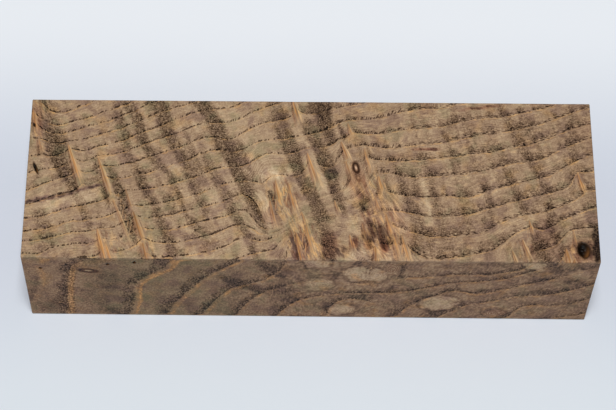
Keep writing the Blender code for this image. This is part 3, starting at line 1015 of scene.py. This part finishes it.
class Socket:
    """A number that runs between shader nodes, so that shader maths reads as plain maths."""

    def __init__(self, graph: "NodeGraph", output: Any) -> None:
        """Keeps the graph and the output that the number comes from."""
        self.graph = graph
        self.output = output

    def maths(self, operation: str, *others: Any) -> "Socket":
        """The output of one Math node of that operation on this number and the others."""
        return self.graph.maths(operation, self, *others)

    def __add__(self, other: Any) -> "Socket":
        """self + other."""
        return self.maths("ADD", other)

    __radd__ = __add__

    def __sub__(self, other: Any) -> "Socket":
        """self - other."""
        return self.maths("SUBTRACT", other)

    def __rsub__(self, other: Any) -> "Socket":
        """other - self."""
        return self.graph.maths("SUBTRACT", other, self)

    def __mul__(self, other: Any) -> "Socket":
        """self * other."""
        return self.maths("MULTIPLY", other)

    __rmul__ = __mul__

    def __truediv__(self, other: Any) -> "Socket":
        """self / other."""
        return self.maths("DIVIDE", other)

    def __pow__(self, other: Any) -> "Socket":
        """self to the power of other."""
        return self.maths("POWER", other)

    def __abs__(self) -> "Socket":
        """self without its sign."""
        return self.maths("ABSOLUTE")

    def step(self, low: Any, high: Any) -> "Socket":
        """0 up to low, 1 from high on, and an S-shaped step between them; high may be the lower."""
        inputs = {"Value": self, "From Min": low, "From Max": high}
        return self.graph.node("ShaderNodeMapRange", {"interpolation_type": "SMOOTHSTEP"}, inputs)

    def bell(self, centre: Any, half_width: Any) -> "Socket":
        """e^(-((self - centre) / half width)^2): 1 at the centre."""
        away = (self - centre) / half_width
        return (away * away * -1.0).maths("EXPONENT")

    def length(self, other: Any) -> "Socket":
        """The length of the flat way (self, other)."""
        return (self * self + other * other).maths("SQRT")


class NodeGraph:
    """A material's node tree, with one method that adds any node."""

    def __init__(self, name: str) -> None:
        """Makes a material with an empty node tree.

        Args:
            name: the material's name.
        """
        self.material = bpy.data.materials.new(name)
        self.material.use_nodes = True
        self.tree = self.material.node_tree
        self.tree.nodes.clear()

    def node(
        self, kind: str, settings: Mapping[str, Any], inputs: Mapping[Any, Any], output: Any = 0
    ) -> Socket:
        """Adds a node, sets its settings and then its sockets, and gives one of its outputs.

        Args:
            kind: the node's type, such as ShaderNodeMath.
            settings: properties of the node; "stops" fills a colour ramp with (position, colour) pairs.
            inputs: for each socket's name or number, a Socket to link or a value to set.
            output: the name or number of the wanted output.

        Returns:
            The wanted output.
        """
        added = self.tree.nodes.new(kind)
        for name, value in settings.items():
            if name == "stops":
                self.fill_ramp(added.color_ramp, value)
            else:
                setattr(added, name, value)
        for name, value in inputs.items():
            if isinstance(value, Socket):
                self.tree.links.new(value.output, added.inputs[name])
            else:
                added.inputs[name].default_value = value
        return Socket(self, added.outputs[output])

    def maths(self, operation: str, *values: Any) -> Socket:
        """The output of one Math node of that operation on these values."""
        return self.node("ShaderNodeMath", {"operation": operation}, dict(enumerate(values)))

    def fill_ramp(self, ramp: bpy.types.ColorRamp, stops: Sequence[tuple[float, Rgba]]) -> None:
        """Gives a colour ramp its stops.

        Args:
            ramp: the ramp to fill.
            stops: its (position, colour) pairs.
        """
        while len(ramp.elements) < len(stops):
            ramp.elements.new(1.0)
        for element, (position, colour) in zip(ramp.elements, stops):
            element.position = position
            element.color = colour

    def finish(self, shader: Socket) -> bpy.types.Material:
        """Links the shader to the material's output.

        Args:
            shader: the finished shader.

        Returns:
            The material.
        """
        output = self.tree.nodes.new("ShaderNodeOutputMaterial")
        self.tree.links.new(shader.output, output.inputs["Surface"])
        return self.material

    def attribute(self, name: str) -> tuple[Socket, Socket, Socket]:
        """The three numbers of a vector attribute of the mesh."""
        vector = self.node("ShaderNodeAttribute", {"attribute_name": name}, {}, "Vector")
        return self.parts(vector)

    def parts(self, vector: Socket) -> tuple[Socket, Socket, Socket]:
        """Takes a vector apart.

        Args:
            vector: the vector.

        Returns:
            Its X, Y and Z.
        """
        x = self.node("ShaderNodeSeparateXYZ", {}, {0: vector})
        outputs = x.output.node.outputs
        return x, Socket(self, outputs[1]), Socket(self, outputs[2])

    def vector(self, x: Any, y: Any, z: Any) -> Socket:
        """A vector put together from three numbers."""
        return self.node("ShaderNodeCombineXYZ", {}, {0: x, 1: y, 2: z})

    def noise(self, x: Any, y: Any, z: Any, detail: float) -> Socket:
        """Even noise about 0, mostly within -1 to 1, whose humps are one unit of the coordinates apart."""
        inputs = {"Vector": self.vector(x, y, z), "Scale": 1.0, "Detail": detail}
        return (self.node("ShaderNodeTexNoise", {}, inputs, "Fac") - 0.5) * 4.0

    def blend(self, first: Any, second: Any, factor: Any) -> Socket:
        """The first colour turning into the second as the factor goes from 0 to 1."""
        inputs = {"Factor": factor, 6: first, 7: second}
        return self.node("ShaderNodeMix", {"data_type": "RGBA"}, inputs, 2)

    def choose(self, first: Any, second: Any, factor: Any) -> Socket:
        """The first number turning into the second as the factor goes from 0 to 1."""
        return self.node("ShaderNodeMix", {"data_type": "FLOAT"}, {0: factor, 2: first, 3: second})


# What the studio's light does to a base colour on the top: it adds a sheen and scales the rest.
SHEEN = 0.003
LIGHT_GAIN = 0.936


def paint(red: int, green: int, blue: int) -> Rgba:
    """The base colour that shows on the screen as these values under the studio's light.

    The screen values are turned into light by the sRGB formula, and the studio's light is taken out again.

    Args:
        red: red on the screen, 0 to 255.
        green: green on the screen.
        blue: blue on the screen.

    Returns:
        The base colour, with an alpha of 1.
    """
    screen = (red / 255, green / 255, blue / 255)
    light = [c / 12.92 if c <= 0.04045 else ((c + 0.055) / 1.055) ** 2.4 for c in screen]
    base = [max((value - SHEEN) / LIGHT_GAIN, 0.001) for value in light]
    return (base[0], base[1], base[2], 1.0)


def screen_tone(red: int, green: int, blue: int) -> float:
    """How light a colour looks on the screen, from 0 to 1."""
    return (0.2126 * red + 0.7152 * green + 0.0722 * blue) / 255


# The finish.


@dataclass(frozen=True)
class AshPalette:
    """The colours of the sanded ash, as they show on a screen, and the darkening of the upright faces:
    partly their own browner tone, partly painted shade.
    """

    tones: tuple[Rgb, ...] = (
        (26, 19, 14), (54, 40, 29), (80, 60, 45), (104, 82, 64), (126, 101, 80), (146, 119, 95),
        (160, 132, 106), (174, 147, 118), (192, 166, 134), (216, 195, 164),
    )
    gold: Rgb = (190, 145, 92)
    ember: Rgb = (184, 120, 62)
    rust: Rgb = (124, 76, 54)
    mauve: Rgb = (116, 90, 80)
    olive: Rgb = (122, 112, 84)
    bark: Rgb = (24, 18, 17)
    # Darkening of the upright faces: partly their own browner tone, partly painted shade.
    side_tone_and_shade: tuple[float, float, float] = (0.83, 0.73, 0.675)


@dataclass(frozen=True)
class AshWood:
    """Sanded, resin-filled ash burl: how strongly each part of its figure shows.

    Depths and lights are changes of the tone, as shares of full white. The parts are places along the block
    in mm, between which one style of figure turns into another, and the light middle is a centre and a half
    width. The speckled and the sharp ring make the two strong lines at the left end of the front.
    """

    palette: AshPalette = AshPalette()
    base_tone: float = 0.572
    roughness: float = 0.42
    shine: float = 0.08
    relief: float = 0.04 * MM
    bump: float = 0.6
    right_part: Pair = (-6.0, 12.0)
    left_part: Pair = (-5.0, -30.0)
    dash_part: Pair = (19.0, 25.0)
    weak_curl_part: Pair = (8.0, 20.0)
    dark_end_part: Pair = (46.0, 64.0)
    dark_edge_part: Pair = (6.0, 20.0)
    dark_edge_y: Pair = (-11.0, -16.0)
    light_middle: Pair = (-18.0, 17.0)
    green_part: Pair = (-55.0, -45.0)
    speckled_ring: float = 14.0
    sharp_ring: float = 15.0
    pore_depth: float = 0.3
    side_pore_depth: float = 0.15
    stroke_light: float = 0.07
    gold_light: float = 0.02
    side_gold_light: float = 0.05
    curl_depth: float = 0.22
    side_curl_depth: float = 0.2
    right_curl: float = 0.72
    cloud_light: float = 0.025
    ray_light: float = 0.032
    patch_light: float = 0.04
    swirl_light: float = 0.042
    fibre_light: float = 0.05
    layer_light: float = 0.035
    grain_depth: float = 0.052
    fleck_depth: float = 0.15
    side_grain_depth: float = 0.07
    side_fleck_depth: float = 0.06
    burl_light: float = 0.14
    pale_light: float = 0.08
    shadow_depth: float = 0.18
    right_end_depth: float = 0.036
    front_edge_depth: float = 0.03
    middle_light: float = 0.022
    eye_light: float = 0.14
    eye_ring_light: float = 0.07
    eye_rim_depth: float = 0.12
    pip_streak_light: float = 0.15
    pip_rim_depth: float = 0.12
    knot_core_light: float = 0.26
    knot_rim_tone: float = 0.17
    # Painted shade inside the open knots' holes.
    painted_hole_shade: float = 0.06

    def make(self) -> bpy.types.Material:
        """Builds the material.

        Returns:
            The wood's material, which reads Object coordinates and the block's attributes.
        """
        return AshShader(NodeGraph("ash_wood"), self).build()


class Grain:
    """What every feature of the wood reads: the place in mm, the block's attributes and the ring lines."""

    def __init__(self, graph: NodeGraph, wood: AshWood) -> None:
        """Reads the coordinates and the attributes, and makes the noise that features share.

        Args:
            graph: the material's node tree.
            wood: the strengths and the palette.
        """
        g = self.graph = graph
        self.wood = wood
        place = g.node("ShaderNodeTexCoord", {}, {}, "Object")
        self.x, self.y, self.z = (part * METRE for part in g.parts(place))
        self.ring, self.crossing, self.lamella = g.attribute("grain")
        self.curl, self.ring_show, self.folding = g.attribute("figure")
        self.side, self.bark, self.mottle = g.attribute("place")
        self.rust, self.mauve, self.pale = g.attribute("stain")
        self.burl, self.olive, shadow = g.attribute("growth")
        self.spacing = g.attribute("spacing")[0]
        x, y, z = self.x, self.y, self.z
        self.flat = 1.0 - self.side
        self.right = x.step(*wood.right_part)
        self.left = x.step(*wood.left_part)
        self.grit = self.even(3.6, 1.0)
        self.speck = g.noise(x * 2.1, y * 2.4, z * 2.3, 1.5)
        torn = g.noise(self.crossing * 1.1, y * 0.35, z * 0.5, 2.5) * 0.7
        self.shadow = (shadow + torn * shadow.step(0.0, 0.25)).step(0.15, 1.1)
        self.burl_streak = g.noise(self.crossing * 1.1, y * 0.3, z * 0.4, 2.0)
        fine = g.noise(x * 0.55, self.lamella * 2.9, z * 2.8, 1.5)
        coarse = g.noise(x * 0.3, self.lamella * 0.85, z * 0.5, 1.0)
        self.fibre = g.choose(fine, coarse, self.folding)

        # The ring lines waver a little, and on the upright faces they lie a little higher.
        wobble = self.even(0.45, 1.0) * 0.16 + self.even(1.5, 1.0) * 0.13
        shift = g.choose(0.6, 1.8, self.left) * self.side
        number = self.ring + (wobble + shift) / self.spacing
        self.row = number.maths("ROUND")
        self.off = (number - self.row) * self.spacing
        self.after = number - number.maths("FLOOR")
        self.up = self.after * self.spacing

        self.speckled_row = self.row.bell(-wood.speckled_ring, 0.4)
        self.sharp_row = self.row.bell(-wood.sharp_ring, 0.4)

    def even(self, pitch: float, detail: float, shift: float = 0.0) -> Socket:
        """Noise that is alike along X, Y and Z, with about that many humps a mm.

        Args:
            pitch: humps a mm.
            detail: how many finer layers it has.
            shift: moves the noise along X, so that two noises of one pitch differ.

        Returns:
            The noise, about 0.
        """
        return self.graph.noise(self.x * pitch + shift, self.y * pitch, self.z * pitch, detail)


class Eyes:
    """Pale burl eyes with wavy rings round their middle. A value below 0 marks a small rusty eye."""

    def __init__(self, grain: Grain) -> None:
        """Finds the nearest eye's parts: pale body, rusty body, rings and rim.

        Args:
            grain: what the block's attributes say.
        """
        u, v, value = grain.graph.attribute("eye")
        middle = u.length(v)
        self.grain = grain
        self.far = middle + grain.even(0.5, 2.5) * 0.32
        pale = value.step(-0.1, 0.1)
        body = self.far.step(1.15, 0.7) * abs(value)
        self.pale = body * pale
        self.rusty = body * (1.0 - pale)
        self.rings = (middle * 26.0 + grain.even(0.8, 1.5) * 4.2).maths("SINE")
        self.rim = self.far.bell(1.12, 0.16) * abs(value)

    def on(self, tone: Socket) -> Socket:
        """Draws the eyes on the tone.

        Args:
            tone: the tone so far.

        Returns:
            The new tone.
        """
        wood = self.grain.wood
        eye = wood.base_tone + wood.eye_light + self.far.step(0.6, 0.1) * 0.05
        eye = eye + self.rings * wood.eye_ring_light + self.grain.speck * 0.12
        tone = self.grain.graph.choose(tone, eye, self.pale) - self.rim * wood.eye_rim_depth
        return tone + self.rusty * 0.06


class Pips:
    """Pips: feathers of gold and brown streaks that meet in a tip."""

    def __init__(self, grain: Grain) -> None:
        """Finds the nearest pip's parts: body, dark core, outline on its left side and streaks.

        Args:
            grain: what the block's attributes say.
        """
        g = self.graph = grain.graph
        self.wood = grain.wood
        u, v, value = g.attribute("pip")
        width = (1.0 - v).maths("MAXIMUM", 0.0001) ** 0.5 * 1.05 + 0.1
        across = u / width
        self.streak = g.noise(across * 2.0 + grain.crossing * 0.3, v * 1.2, grain.crossing * 0.2, 2.0)
        ragged = abs(across) + g.noise(grain.x * 1.3, grain.y * 0.8, grain.z, 1.0) * 0.35
        length = v.step(-0.35, 0.4) * value * v.step(1.08, 0.92)
        self.body = ragged.step(1.25, 0.6) * length
        self.core = across.bell(-0.25, 0.32) * length * v.step(-0.1, 0.5)
        self.outline = across.bell(-1.15, 0.35) * length

    def on(self, tone: Socket) -> Socket:
        """The tone with the pips drawn on it."""
        pip = self.wood.base_tone + 0.025 + self.streak * self.wood.pip_streak_light - self.core * 0.08
        return self.graph.choose(tone, pip, self.body) - self.outline * self.wood.pip_rim_depth


class Knots:
    """Knots with a dark rim, round a hollow or round a pale core. An open knot's hole is painted dark as
    shade, with painted light on one side.
    """

    def __init__(self, grain: Grain) -> None:
        """Finds the nearest knot's parts: rim, pale core, hole, and the lit side inside the hole. The hole
        gets painted shade and its lit side painted light.

        Args:
            grain: what the block's attributes say.
        """
        g = self.graph = grain.graph
        self.wood = grain.wood
        u, v, value = g.attribute("knot")
        far = u.length(v) + grain.even(1.2, 1.5) * 0.13
        shown = value.step(0.0, 0.25)
        self.open = value.step(0.5, 0.9)
        self.rim = far.bell(0.95, g.choose(0.45, 0.28, self.open)) * shown
        self.core = far.step(0.6, 0.2) * shown * (1.0 - self.open)
        self.hole = far.step(1.1, 0.7) * self.open
        self.painted_hole_light = (v - u * 0.9).step(0.4, -1.3)

    def on(self, tone: Socket) -> Socket:
        """Draws the knots on the tone.

        Args:
            tone: the tone so far.

        Returns:
            The new tone.
        """
        g, wood = self.graph, self.wood
        tone = g.choose(tone + self.core * wood.knot_core_light, wood.knot_rim_tone, self.rim * 0.95)
        # Open knots: painted shade in the hole, with painted light on its lit side.
        return g.choose(tone, wood.painted_hole_shade + self.painted_hole_light * 0.2, self.hole)


class AshShader(Grain):
    """Draws the wood: its ground and its lines, then eyes, pips and knots over them, and their colours."""

    def pores(self) -> tuple[Socket, Socket]:
        """Open pores above each ring line.

        On the top they are a thin row of dots on the left, and short strokes and dashes on the right. On
        the upright faces they are worm-like and fill a broad band, which is broadest on the left.

        Returns:
            How much of a pore each place is, and how much of a pale stroke between pores, from 0 to 1.
        """
        g, x, y, z, row, side = self.graph, self.x, self.y, self.z, self.row, self.side
        reach = g.choose(g.choose(0.52, 1.2, self.right), g.choose(1.5, 3.6, self.left), side)
        reach = reach * (1.0 + g.noise(x * 0.3, row * 2.1, z * 0.3, 1.0) * 0.35)
        start = g.choose(-0.12, g.choose(-0.2, -0.4 - self.speckled_row * 1.8, self.left), side)
        zone = self.off.step(start, start + 0.2) * self.ring_show
        share = self.off / reach
        thin_out = share.step(0.55, 1.15) * 2.2 + abs(share) * 0.35
        gaps = g.noise((x + z) * 0.5, row * 3.7, y * 0.1, 1.0) * 0.5
        dots = g.noise((x + z) * 2.7, row * 5.3, y * 0.6, 1.0) + gaps + 0.2
        strokes = g.noise(x * 3.1 - y * 1.1, y * 0.9, z * 2.4, 0.5) + 0.15
        dashes = g.noise(x * 1.15, y * 3.3, z * 2.4, 1.0)
        worms = g.noise(x * 2.9, y * 2.4, z * 2.1, 0.5) + 0.05
        strokes = g.choose(strokes, dashes, x.step(*self.wood.dash_part))
        drawn = g.choose(g.choose(dots, strokes, self.right), worms, side)
        pore = (drawn - thin_out).step(g.choose(-0.1, -0.35, side), g.choose(0.22, 0.5, side))
        pale = (drawn * -1.0 - thin_out).step(0.1, 0.7) * g.choose(self.right, 1.0, side)
        return zone * pore, zone * pale

    def gold_lines(self) -> Socket:
        """The thin gold line along the lower side of the pores, a broad band on the upright faces.

        Returns:
            How much of the line each place is, from 0 to 1.
        """
        g, x, z, row = self.graph, self.x, self.z, self.row
        left = self.left * self.side
        centre = g.choose(g.choose(-0.2, -0.45, self.side), -0.8, left)
        half = g.choose(g.choose(0.19, 0.55, self.side), 0.8, left) + left * self.speckled_row * 0.5
        broken = g.noise(x * 0.5 + z * 0.2, row * 3.1, z * 0.2, 2.0).step(-0.8, 0.8)
        broken = broken.maths("MAXIMUM", left * (0.35 + self.speckled_row * 0.4))
        sharp = self.off.bell(g.choose(-0.3, -1.3, left), 0.26) * self.side
        sharp = sharp * (0.2 + self.sharp_row * left * 0.9)
        broad = self.off.bell(centre, half) * broken * (1.0 - self.side * (1.0 - self.left) * 0.4)
        return (broad + sharp * 0.9).step(0.0, 1.0) * self.ring_show

    def curl_depth(self) -> Socket:
        """How dark the curl is: bands and cells, darkest just above each ring line and fading to the next.

        Returns:
            The darkness, from 0 to a little over 1.
        """
        g, x, z, side = self.graph, self.x, self.z, self.side
        cell_x = g.choose(self.crossing * 0.47, x * 0.16, side)
        cells = g.noise(cell_x, self.row * 1.3, z * 0.16 * side, 1.0)
        ragged = g.noise(x, self.lamella * 1.9, z, 1.0)
        strength = g.choose(1.0, self.wood.right_curl, x.step(*self.wood.weak_curl_part) * self.flat)
        bands = self.curl * strength * (1.08 - self.after * 0.3)
        mottle = self.mottle * cells.step(-0.45, 0.6) * (1.25 - self.after) * (1.0 - side * 0.1)
        wedge = (self.up / 3.2).step(1.0, 0.0) * g.choose(self.right * 0.2, 0.4, side) * self.ring_show
        depth = bands + mottle + wedge
        return (depth + ragged * 0.14 * depth.step(0.02, 0.35)).step(-0.1, 1.1) * 1.1

    def ground(self, depth: Socket) -> Socket:
        """The sanded ground: clouds, fibres along the rings, rays across them, and dark and light flecks.

        Args:
            depth: how dark the curl is.

        Returns:
            The tone, from 0 for black to 1 for white.
        """
        g, x, y, z, wood, side = self.graph, self.x, self.y, self.z, self.wood, self.side
        ray = g.noise(self.crossing * 1.1, y * 0.1, z * 0.3, 2.0)
        patch = g.noise(x * 0.2, y * 0.2, z * 0.24, 2.5)
        swirl = (self.even(0.2, 2.0) * 11.0).maths("SINE") * (1.0 - self.left * 0.7)
        layers = (self.lamella * 10.5 + self.even(0.4, 1.0) * 2.0).maths("SINE") * self.folding
        fibre = wood.fibre_light * (1.0 + self.right * 0.5) * (1.0 - side * 0.5) + self.folding * 0.02
        upright = z * g.choose(1.05, 2.3, self.left)
        worm = g.noise((x - z * self.right * 0.3) * 2.6, y * 1.2, upright, 0.5) * 1.1
        top_fleck = (self.speck * 0.5 + self.grit) * (wood.grain_depth + depth * wood.fleck_depth)
        side_fleck = (worm + self.grit * 0.6) * (wood.side_grain_depth + depth * wood.side_fleck_depth)

        tone = wood.base_tone + self.even(0.11, 2.0) * wood.cloud_light
        tone = tone + self.fibre * fibre + layers * wood.layer_light + g.choose(top_fleck, side_fleck, side)
        tone = tone - depth * g.choose(wood.curl_depth, wood.side_curl_depth, side)
        tone = tone + (patch * wood.patch_light + swirl * wood.swirl_light) * side

        # The wood is darker at its right end and along the top's front edge, and lighter in the middle.
        front_edge = x.step(*wood.dark_edge_part) * y.step(*wood.dark_edge_y) * wood.front_edge_depth
        top_light = ray * wood.ray_light + x.bell(*wood.light_middle) * wood.middle_light - front_edge
        tone = tone + top_light * self.flat - x.step(*wood.dark_end_part) * wood.right_end_depth
        tone = tone + self.burl * self.burl_streak * wood.burl_light
        return tone + self.pale * wood.pale_light - self.shadow * wood.shadow_depth

    def lined(self, tone: Socket, depth: Socket, pore: Socket, pale_stroke: Socket, gold: Socket) -> Socket:
        """The tone with the ring lines drawn on it.

        Args:
            tone: the ground's tone.
            depth: how dark the curl is.
            pore: how much of a pore each place is.
            pale_stroke: how much of a pale stroke.
            gold: how much of the gold line.

        Returns:
            The new tone.
        """
        wood, side = self.wood, self.side
        top_pores = (wood.pore_depth - depth * 0.06) * (1.0 - self.right * 0.2)
        pore_depth = self.graph.choose(top_pores, wood.side_pore_depth + self.left * 0.04, side)
        gold_light = wood.gold_light + side * wood.side_gold_light
        speckle = self.left * side * (self.speck * 0.12 - 0.02)
        return tone - pore * pore_depth + gold * (gold_light + speckle) + pale_stroke * wood.stroke_light

    def build(self) -> bpy.types.Material:
        """Puts the features together and links the finished shader.

        Returns:
            The material.
        """
        g, wood = self.graph, self.wood
        eyes, pips, knots = Eyes(self), Pips(self), Knots(self)
        depth = self.curl_depth()
        pore, pale_stroke = self.pores()
        gold = self.gold_lines()
        tone = self.lined(self.ground(depth), depth, pore, pale_stroke, gold)
        tone = knots.on(pips.on(eyes.on(tone)))
        height = pore * -0.6 + self.grit * 0.15 + self.speck * 0.15 - knots.rim * 0.5
        relief = {"Strength": wood.bump, "Distance": wood.relief, "Height": height}
        shader = g.node("ShaderNodeBsdfPrincipled", {}, {
            "Base Color": self.coloured(tone, depth, gold, eyes, pips, knots),
            "Roughness": wood.roughness + pore * 0.12 + self.grit * 0.03,
            "Normal": g.node("ShaderNodeBump", {}, relief, "Normal"),
            "Specular IOR Level": wood.shine,
        }, "BSDF")
        return g.finish(shader)

    def coloured(
        self, tone: Socket, depth: Socket, gold: Socket, eyes: Eyes, pips: Pips, knots: Knots
    ) -> Socket:
        """Gives each tone its colour, and then turns it towards the paints of the features one by one.

        Args:
            tone: the finished tone.
            depth: how dark the curl is.
            gold: how much of the gold line each place is.
            eyes: the eyes.
            pips: the pips.
            knots: the knots.

        Returns:
            The colour, darkened on the upright faces: partly their own tone, partly painted shade.
        """
        g, wood, paints = self.graph, self.wood, self.wood.palette
        stops = [(screen_tone(*shade), paint(*shade)) for shade in paints.tones]
        colour = g.node("ShaderNodeValToRGB", {"stops": stops}, {0: tone}, "Color")
        tint = tone / wood.base_tone
        hue = self.even(0.26, 2.0, 7.0)
        amber = self.even(0.24, 2.0, 19.0).step(0.1, 1.0)
        green = hue.step(0.0, 0.75) * (0.5 - self.right * 0.1) + self.olive * 0.8
        green = green + self.left * self.side * self.x.step(*wood.green_part) * 0.4
        green = green + depth * (0.12 - self.right * 0.1) * self.flat
        mauve = hue.step(-0.1, -0.7) * (0.55 - self.right * 0.1) + self.mauve * 0.9 + self.shadow * 0.5
        warm = gold * g.choose(0.55, 0.72, self.side) + self.fibre.step(0.2, 1.0) * 0.2
        turns = (
            (paints.gold, tint * 0.94, amber * (0.4 + self.side * 0.2)),
            (paints.olive, tint * 1.1, green),
            (paints.mauve, tint * 1.1, mauve),
            (paints.rust, tint * 1.2, self.rust * 0.7),
            (paints.gold, tint, warm),
            (paints.gold, tint, self.burl * self.burl_streak.step(-0.1, 0.6) * 0.6),
            (paints.rust, tint * 1.3, self.burl * self.burl_streak.step(-0.1, -0.7) * 0.4),
            (paints.gold, tint, pips.body * pips.streak.step(-0.2, 0.5) * 0.45),
            (paints.ember, tint, pips.core * 0.6),
            (paints.rust, tint * 1.1, knots.rim * (1.0 - knots.open) * 0.5),
            (paints.rust, tint * 1.3, pips.outline * 0.4),
            (paints.rust, 1.0, eyes.rusty * eyes.rings.step(-0.1, 0.7) * 0.9),
            # Painted light on the lit side of the knot holes, in the ember paint.
            (paints.ember, 0.1 + knots.painted_hole_light * 0.6, knots.hole * knots.painted_hole_light * 0.8),
            (paints.bark, 1.0, self.bark * (0.84 + self.speck * 0.3 + self.grit * 0.2)),
        )
        for screen, light, factor in turns:
            colour = self.turned(colour, screen, light, factor)
        # The upright faces are darkened: partly their own browner tone, partly painted shade, as they get
        # less light than the top.
        side_tone_and_shade_inputs = {0: self.side, 4: (1.0, 1.0, 1.0), 5: paints.side_tone_and_shade}
        side_tone_and_shade_scale = g.node("ShaderNodeMix", {"data_type": "VECTOR"}, side_tone_and_shade_inputs, 1)
        return g.node("ShaderNodeVectorMath", {"operation": "MULTIPLY"}, {0: colour, 1: side_tone_and_shade_scale})

    def turned(self, colour: Socket, screen: Rgb, light: Any, factor: Any) -> Socket:
        """Turns the colour towards a paint that is itself scaled by the square of a lightness.

        Args:
            colour: the colour so far.
            screen: the paint, as it shows on a screen at a lightness of 1.
            light: the lightness, such as the tone over the ground's own.
            factor: how far to turn, from 0 to 1.

        Returns:
            The new colour.
        """
        scaling = {0: paint(*screen)[:3], "Scale": light * light}
        shaded = self.graph.node("ShaderNodeVectorMath", {"operation": "SCALE"}, scaling)
        return self.graph.blend(colour, shaded, factor)


# The studio.


@dataclass
class Studio:
    """The pale floor, the soft light and the camera, with places in mm.

    The floor's colour changes along Y as painted light and shade: darker in a band round the block, lighter
    far behind it and a little lighter in front. far_span and front_span are where it turns into the far and
    the front colour.
    """

    lens: float = 125.145
    camera_place: tuple[float, float, float] = (-8.3351, -245.5115, 451.9046)
    camera_turn: tuple[float, float, float] = (0.513113, -0.019370, 0.002644)
    clip_start: float = 10.0
    floor_half: float = 3000.0
    floor_drop: float = 0.02
    floor_roughness: float = 0.85
    floor_shine: float = 0.1
    front_floor: Rgba = (0.746, 0.80, 0.855, 1.0)
    near_floor_shade: Rgba = (0.67, 0.715, 0.805, 1.0)
    far_floor_light: Rgba = (0.89, 0.925, 0.97, 1.0)
    front_span: Pair = (0.0, -46.0)
    far_span: Pair = (12.0, 66.0)
    surround: Rgba = (0.93, 0.96, 1.0, 1.0)
    world_light: float = 0.11
    lamp_power: float = 34.1
    lamp_side: float = 480.0
    lamp_place: tuple[float, float, float] = (0.0, -400.0, 1950.0)

    def build(self) -> None:
        """Makes the floor, the light and the camera, and sets the view transform."""
        self.floor()
        self.lights()
        camera_data = bpy.data.cameras.new("camera")
        camera_data.lens = self.lens
        camera_data.clip_start = self.clip_start * MM
        camera = bpy.data.objects.new("camera", camera_data)
        camera.location = [value * MM for value in self.camera_place]
        camera.rotation_euler = self.camera_turn
        bpy.context.scene.collection.objects.link(camera)
        bpy.context.scene.camera = camera
        bpy.context.scene.view_settings.view_transform = "Standard"

    def floor(self) -> None:
        """Makes a wide flat floor just under the block."""
        half, drop = self.floor_half * MM, -self.floor_drop * MM
        mesh = bpy.data.meshes.new("floor")
        corners = [(-half, -half, drop), (half, -half, drop), (half, half, drop), (-half, half, drop)]
        mesh.from_pydata(corners, [], [(0, 1, 2, 3)])
        floor = bpy.data.objects.new("floor", mesh)
        bpy.context.scene.collection.objects.link(floor)
        g = NodeGraph("floor_paper")
        y = g.parts(g.node("ShaderNodeTexCoord", {}, {}, "Object"))[1] * METRE
        # The floor's colour is painted light and shade: darker round the block, lighter far behind it.
        paper = g.blend(self.near_floor_shade, self.far_floor_light, y.step(*self.far_span))
        paper = g.blend(paper, self.front_floor, y.step(*self.front_span))
        shader = g.node("ShaderNodeBsdfPrincipled", {}, {
            "Base Color": paper, "Roughness": self.floor_roughness, "Specular IOR Level": self.floor_shine,
        }, "BSDF")
        mesh.materials.append(g.finish(shader))

    def lights(self) -> None:
        """A wide soft lamp above and a little in front, and an even pale surround."""
        world = bpy.data.worlds.new("surround")
        world.use_nodes = True
        background = world.node_tree.nodes["Background"]
        background.inputs["Color"].default_value = self.surround
        background.inputs["Strength"].default_value = self.world_light
        bpy.context.scene.world = world
        lamp_data = bpy.data.lights.new("soft_lamp", "AREA")
        lamp_data.shape = "SQUARE"
        lamp_data.size = self.lamp_side * MM
        lamp_data.energy = self.lamp_power
        lamp = bpy.data.objects.new("soft_lamp", lamp_data)
        lamp.location = [value * MM for value in self.lamp_place]
        bpy.context.scene.collection.objects.link(lamp)


def main() -> None:
    """Builds the block, its finish and the studio."""
    logging.basicConfig(level=logging.INFO, format="%(name)s: %(message)s")
    sawn = SawnBlock()
    block = sawn.build()
    LOG.info("block: %d points, %d quads", len(block.data.vertices), len(block.data.polygons))
    figure = Figure(sawn, GrowthRings(sawn))
    figure.dress(block)
    LOG.info("figure: %d attributes", len(block.data.attributes))
    block.data.materials.append(AshWood().make())
    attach(block, "root")
    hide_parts("ash_block")
    LOG.info("finish: %d nodes", len(block.data.materials[0].node_tree.nodes))
    Studio().build()
    LOG.info("studio: floor, lamp and camera")


if __name__ == "__main__":
    main()
